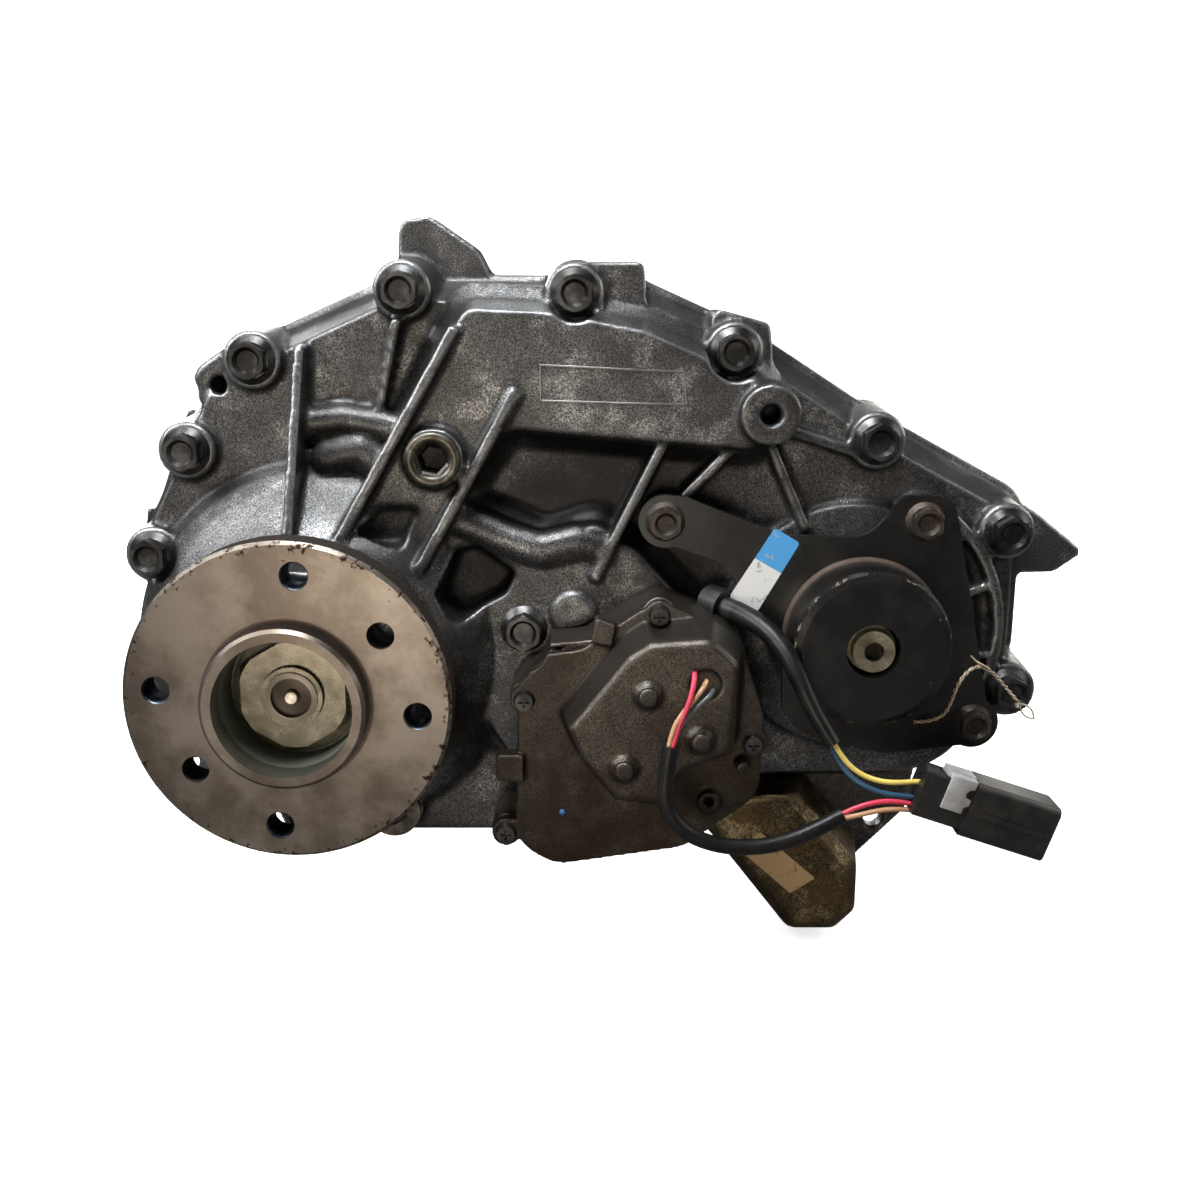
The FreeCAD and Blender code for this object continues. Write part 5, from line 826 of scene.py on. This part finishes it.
# label, tape and a dot of paint, in mm
labels = {
    "stickerLabel": {"corners": ((207.8, 61.5), (219.3, 54.6), (200.8, 22.5), (187.8, 29.5)), "at": -154.0,
                     "thick": 0.25, "rounding": 1.6, "look": "sticker"},
    "footTapeLabel": {"corners": ((198.4, -104.2), (208.0, -94.6), (236.1, -119.3), (223.9, -127.4)),
                      "at": -133.0, "thick": 0.25, "rounding": 0.8, "look": "footTape"},
}
blueDot = {"place": (111.9, -180.0, -64.6), "profile": ((0.0, 0.5), (1.05, 0.4), (1.5, 0.0), (0.0, -0.2)),
           "steps": 20}


def addLabel(name, setup):
    bm = bmesh.new()
    bm.faces.new([bm.verts.new((x * mm, setup["at"] * mm, z * mm)) for x, z in setup["corners"]])
    bmesh.ops.bevel(bm, geom=bm.verts, offset=setup["rounding"] * mm, segments=5, affect="VERTICES",
                    profile=0.5, material=-1)
    pullOut(bm, bm.faces[:], -setup["thick"])
    bmesh.ops.recalc_face_normals(bm, faces=bm.faces)
    meshPiece(name, bm, "case", skins[setup["look"]], smooth=False)


def addDot(setup):
    bm = bmesh.new()
    lathe(bm, setup["profile"], setup["steps"])
    placed(bm, alongY(*setup["place"]))
    bmesh.ops.recalc_face_normals(bm, faces=bm.faces)
    meshPiece("blueDot", bm, "case", skins["blueDot"])


addDot(blueDot)
for labelName, labelSetup in labels.items():
    addLabel(labelName, labelSetup)


# threads in the tapped holes of the flange and the harness boss
flangeThreads = {"body": "rear_output", "pcd": 108.0, "angles": (84.0, 174.0, 264.0, 354.0), "radius": 6.0,
                 "pitch": 1.75, "from": -219.2, "turns": 8}
bossThread = {"body": "case", "radius": 5.0, "pitch": 1.5, "from": -156.2, "turns": 12}
bossCentre = (204.5, 112.1)
threadShape = {"root": 0.05, "crest": 0.75, "steps": 40}


def threadForm(bm, x, z, setup):
    root, crest = setup["radius"] - threadShape["root"], setup["radius"] - threadShape["crest"]
    profile = []
    for k in range(setup["turns"]):
        profile += [(root, k * setup["pitch"]), (crest, (k + 0.5) * setup["pitch"])]
    profile.append((root, setup["turns"] * setup["pitch"]))
    verts = lathe(bm, profile, threadShape["steps"])
    placed(bm, Matrix.Translation(Vector((x, setup["from"], z)) * mm)
           @ Matrix.Rotation(radians(-90.0), 4, "X"), verts)


def addThreads(name, centres, setup):
    bm = bmesh.new()
    for x, z in centres:
        threadForm(bm, x, z, setup)
    bmesh.ops.recalc_face_normals(bm, faces=bm.faces)
    meshPiece(name, bm, setup["body"], skins["threadSteel"])


holeRadius = flangeThreads["pcd"] / 2
addThreads("flangeThreads", [(holeRadius * cos(radians(angle)), holeRadius * sin(radians(angle)))
                             for angle in flangeThreads["angles"]], flangeThreads)
addThreads("bossThread", [bossCentre], bossThread)


# twisted seal wire at the damper, in mm
sealWire = {
    "thickness": 0.9, "twist": 6.5, "apart": 0.5, "eyeLength": 10.0, "eyeWidth": 1.9,
    "route": ((274.1, -159.5, -28.5), (277.9, -161.0, -28.0), (282.4, -163.0, -26.4), (287.2, -163.4, -23.3),
              (289.8, -162.5, -18.4), (292.4, -160.0, -12.4), (296.8, -157.5, -5.5), (303.1, -155.5, -2.3),
              (310.2, -154.0, -5.6), (318.2, -152.8, -14.7), (325.5, -152.0, -22.7), (332.2, -151.8, -29.7)),
    "tail": ((307.9, -155.2, -3.8), (304.1, -156.6, -1.5), (301.0, -157.6, 0.2), (298.8, -158.2, 2.8)),
}


def alongRoute(route, parts=10):
    # points read from the route's own NURBS line
    data = bpy.data.curves.new("line", "CURVE")
    data.dimensions = "3D"
    spline = data.splines.new("NURBS")
    spline.points.add(len(route) - 1)
    for point, place in zip(spline.points, route):
        point.co = (*place, 1.0)
    spline.order_u = 3
    spline.use_endpoint_u = True
    spline.resolution_u = parts
    holder = bpy.data.objects.new("line", data)
    line = bpy.data.meshes.new_from_object(holder)
    points = [v.co.copy() for v in line.vertices]
    bpy.data.objects.remove(holder)
    bpy.data.curves.remove(data)
    bpy.data.meshes.remove(line)
    return points


def lengthOf(points):
    return sum((b - a).length for a, b in zip(points, points[1:]))


def strand(setup, phase):
    # one of two wires laid round each other, which open into an eye at the end
    line = alongRoute(setup["route"])
    eyeStart = lengthOf(line) - setup["eyeLength"]
    eyeSide = 1.0 if phase else -1.0
    run, route = 0.0, []
    for before, here in zip([line[0]] + line, line):
        run += (here - before).length
        along = (here - before).normalized() if (here - before).length else Vector((1.0, 0.0, 0.0))
        side = along.cross(Vector((0.0, 1.0, 0.0))).normalized()
        up = side.cross(along)
        opening = max(0.0, run - eyeStart) / setup["eyeLength"]
        if opening:
            spread = setup["apart"] * (1 - opening) + setup["eyeWidth"] * sin(pi * opening)
            route.append(here + side * eyeSide * spread)
        else:
            angle = phase + pi * round(run * 2 / setup["twist"], 3)
            route.append(here + (side * cos(angle) + up * sin(angle)) * setup["apart"])
    return route


def addSealWire(setup):
    routes = [strand(setup, phase) for phase in (0.0, pi)]
    pieces = [cordCurve(name, route, setup["thickness"], "case", skins["twistedWire"])
              for name, route in (("sealWire1", routes[0]), ("sealWire2", routes[1]),
                                  ("sealWireTail", setup["tail"]))]


addSealWire(sealWire)
print("small pieces placed")


# finishes for the CAD nodes that stay
finishes = {
    "boltSteel": ("case_bolts", "foot_bolts", "actuator_screws", "dowel_pins"),
    "plugSteel": ("drain_plug",),
    "bracketBolt": ("bracket_bolts",),
    "flangeFace": ("rear_flange",),
    "brightSteel": ("front_flange_nut", "breather"),
    "shaftSteel": ("main_shaft",),
    "nutSteel": ("flange_nut",),
    "socketSteel": ("damper_bolt",),
    "gearSteel": ("ring_gear", "input_shaft", "planet_carrier", "planet_gear_1", "planet_gear_2",
                  "planet_gear_3", "planet_gear_4", "drive_sprocket", "driven_sprocket", "front_shaft",
                  "range_collar", "mode_collar", "range_fork", "mode_fork", "shift_cam", "shift_rail",
                  "actuator_worm", "input_bearing_outer", "input_bearing_inner", "rear_bearing_outer",
                  "rear_bearing_inner", "front_bearing_outer", "front_bearing_inner",
                  "tail_bearing_outer", "tail_bearing_inner", "front_flange", "oil_pump"),
    "chainSteel": ("chain",),
    "blackPaint": ("damper_bracket",),
    "cupPaint": ("damper_mass",),
    "sealRubber": ("input_seal", "rear_seal", "front_seal"),
    "connectorBlack": ("connector_body", "position_sensor"),
    "connectorGrey": ("connector_lock",),
}
for finish, nodes in finishes.items():
    for node in nodes:
        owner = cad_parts[node]
        owner.data.materials.clear()
        owner.data.materials.append(skins[finish])
print("finishes set")


# floor and light
studio = {"floor": 6.0, "paper": 0.9, "shade": 0.97, "glow": 0.1, "lift": 0.75,
          "backdrop": (0.95, 0.95, 0.95, 1.0), "backdropPower": 1.7,
          "around": (0.62, 0.65, 0.7, 1.0), "aroundPower": 0.12}


def addFloor(setup):
    bm = bmesh.new()
    bmesh.ops.create_grid(bm, x_segments=1, y_segments=1, size=setup["floor"])
    placed(bm, Matrix.Translation((0.0, 0.0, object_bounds()[0][2])))
    mesh = bpy.data.meshes.new("floor")
    bm.to_mesh(mesh)
    bm.free()
    floor = bpy.data.objects.new("floor", mesh)
    bpy.context.collection.objects.link(floor)
    material, tree, shader, place = newMaterial("paper", Roughness=0.9, Emission_Strength=1.0)
    tint = noiseOf(tree, place, 3.0, 2.0)
    paper = mixColour(tree, tint, grey(setup["paper"]), grey(setup["paper"] * setup["shade"]))
    ray = tree.nodes.new("ShaderNodeLightPath").outputs["Is Camera Ray"]
    tree.links.new(mixColour(tree, ray, grey(setup["glow"]), paper), shader.inputs["Base Color"])
    tree.links.new(mixColour(tree, ray, grey(0.0), grey(setup["lift"])), shader.inputs["Emission Color"])
    mesh.materials.append(material)
    floor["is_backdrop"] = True


def addWorld(setup):
    world = bpy.data.worlds.new("studio")
    bpy.context.scene.world = world
    world.use_nodes = True
    tree = world.node_tree
    seen = tree.nodes["Background"]
    seen.inputs["Color"].default_value = setup["backdrop"]
    seen.inputs["Strength"].default_value = setup["backdropPower"]
    around = addNode(tree, "ShaderNodeBackground", {"Color": setup["around"], "Strength": setup["aroundPower"]})
    ray = tree.nodes.new("ShaderNodeLightPath").outputs["Is Camera Ray"]
    pick = addNode(tree, "ShaderNodeMixShader", {0: ray, 1: around.outputs[0], 2: seen.outputs[0]})
    tree.links.new(pick.outputs[0], tree.nodes["World Output"].inputs["Surface"])


lights = {
    "overhead": {"place": (0.02, -0.36, 0.72), "aim": (0.10, -0.13, 0.06), "size": 0.26, "power": 7.5,
                 "tint": (0.94, 0.97, 1.0)},
    "backWindow": {"place": (0.05, 0.45, 0.75), "aim": (0.12, -0.10, 0.08), "size": 0.5, "power": 2.2,
                   "tint": (0.95, 0.98, 1.0)},
    "leftWindow": {"place": (-0.55, -0.50, 0.50), "aim": (-0.02, -0.14, 0.07), "size": 0.22, "power": 6.2,
                   "tint": (0.97, 0.98, 1.0)},
    "lowFront": {"place": (-0.02, -0.95, -0.05), "aim": (0.05, -0.2, 0.0), "size": 0.3, "power": 2.2,
                 "tint": (1.0, 0.87, 0.72)},
    "rightWarm": {"place": (0.95, -0.40, 0.30), "aim": (0.2, -0.12, 0.0), "size": 0.3, "power": 1.0,
                  "tint": (1.0, 0.93, 0.86)},
    "behindHigh": {"place": (-0.45, 1.05, 0.35), "aim": (0.1, -0.02, 0.0), "size": 0.5, "power": 13.0,
                   "tint": (0.98, 0.98, 1.0)},
    "behindLow": {"place": (0.55, 1.0, -0.02), "aim": (0.15, -0.02, 0.0), "size": 0.6, "power": 7.0,
                  "tint": (1.0, 0.96, 0.9)},
    "rightHigh": {"place": (1.15, 0.15, 0.45), "aim": (0.3, -0.1, 0.0), "size": 0.4, "power": 4.0,
                  "tint": (1.0, 0.98, 0.95)},
}
sun = {"power": 1.2, "softness": 30.0, "turn": (12.0, -24.0, 0.0)}


def addLight(name, setup):
    data = bpy.data.lights.new(name, "AREA")
    data.size, data.energy, data.color = setup["size"], setup["power"], setup["tint"]
    lamp = bpy.data.objects.new(name, data)
    lamp.location = setup["place"]
    toward = Vector(setup["aim"]) - Vector(setup["place"])
    lamp.rotation_euler = toward.to_track_quat("-Z", "Y").to_euler()
    bpy.context.collection.objects.link(lamp)


def addSun(setup):
    data = bpy.data.lights.new("sun", "SUN")
    data.energy, data.angle = setup["power"], radians(setup["softness"])
    lamp = bpy.data.objects.new("sun", data)
    lamp.rotation_euler = [radians(turn) for turn in setup["turn"]]
    bpy.context.collection.objects.link(lamp)


addFloor(studio)
addWorld(studio)
bpy.context.scene.view_settings.view_transform = "Standard"
for lightName, lightSetup in lights.items():
    addLight(lightName, lightSetup)
addSun(sun)
print("studio lit")
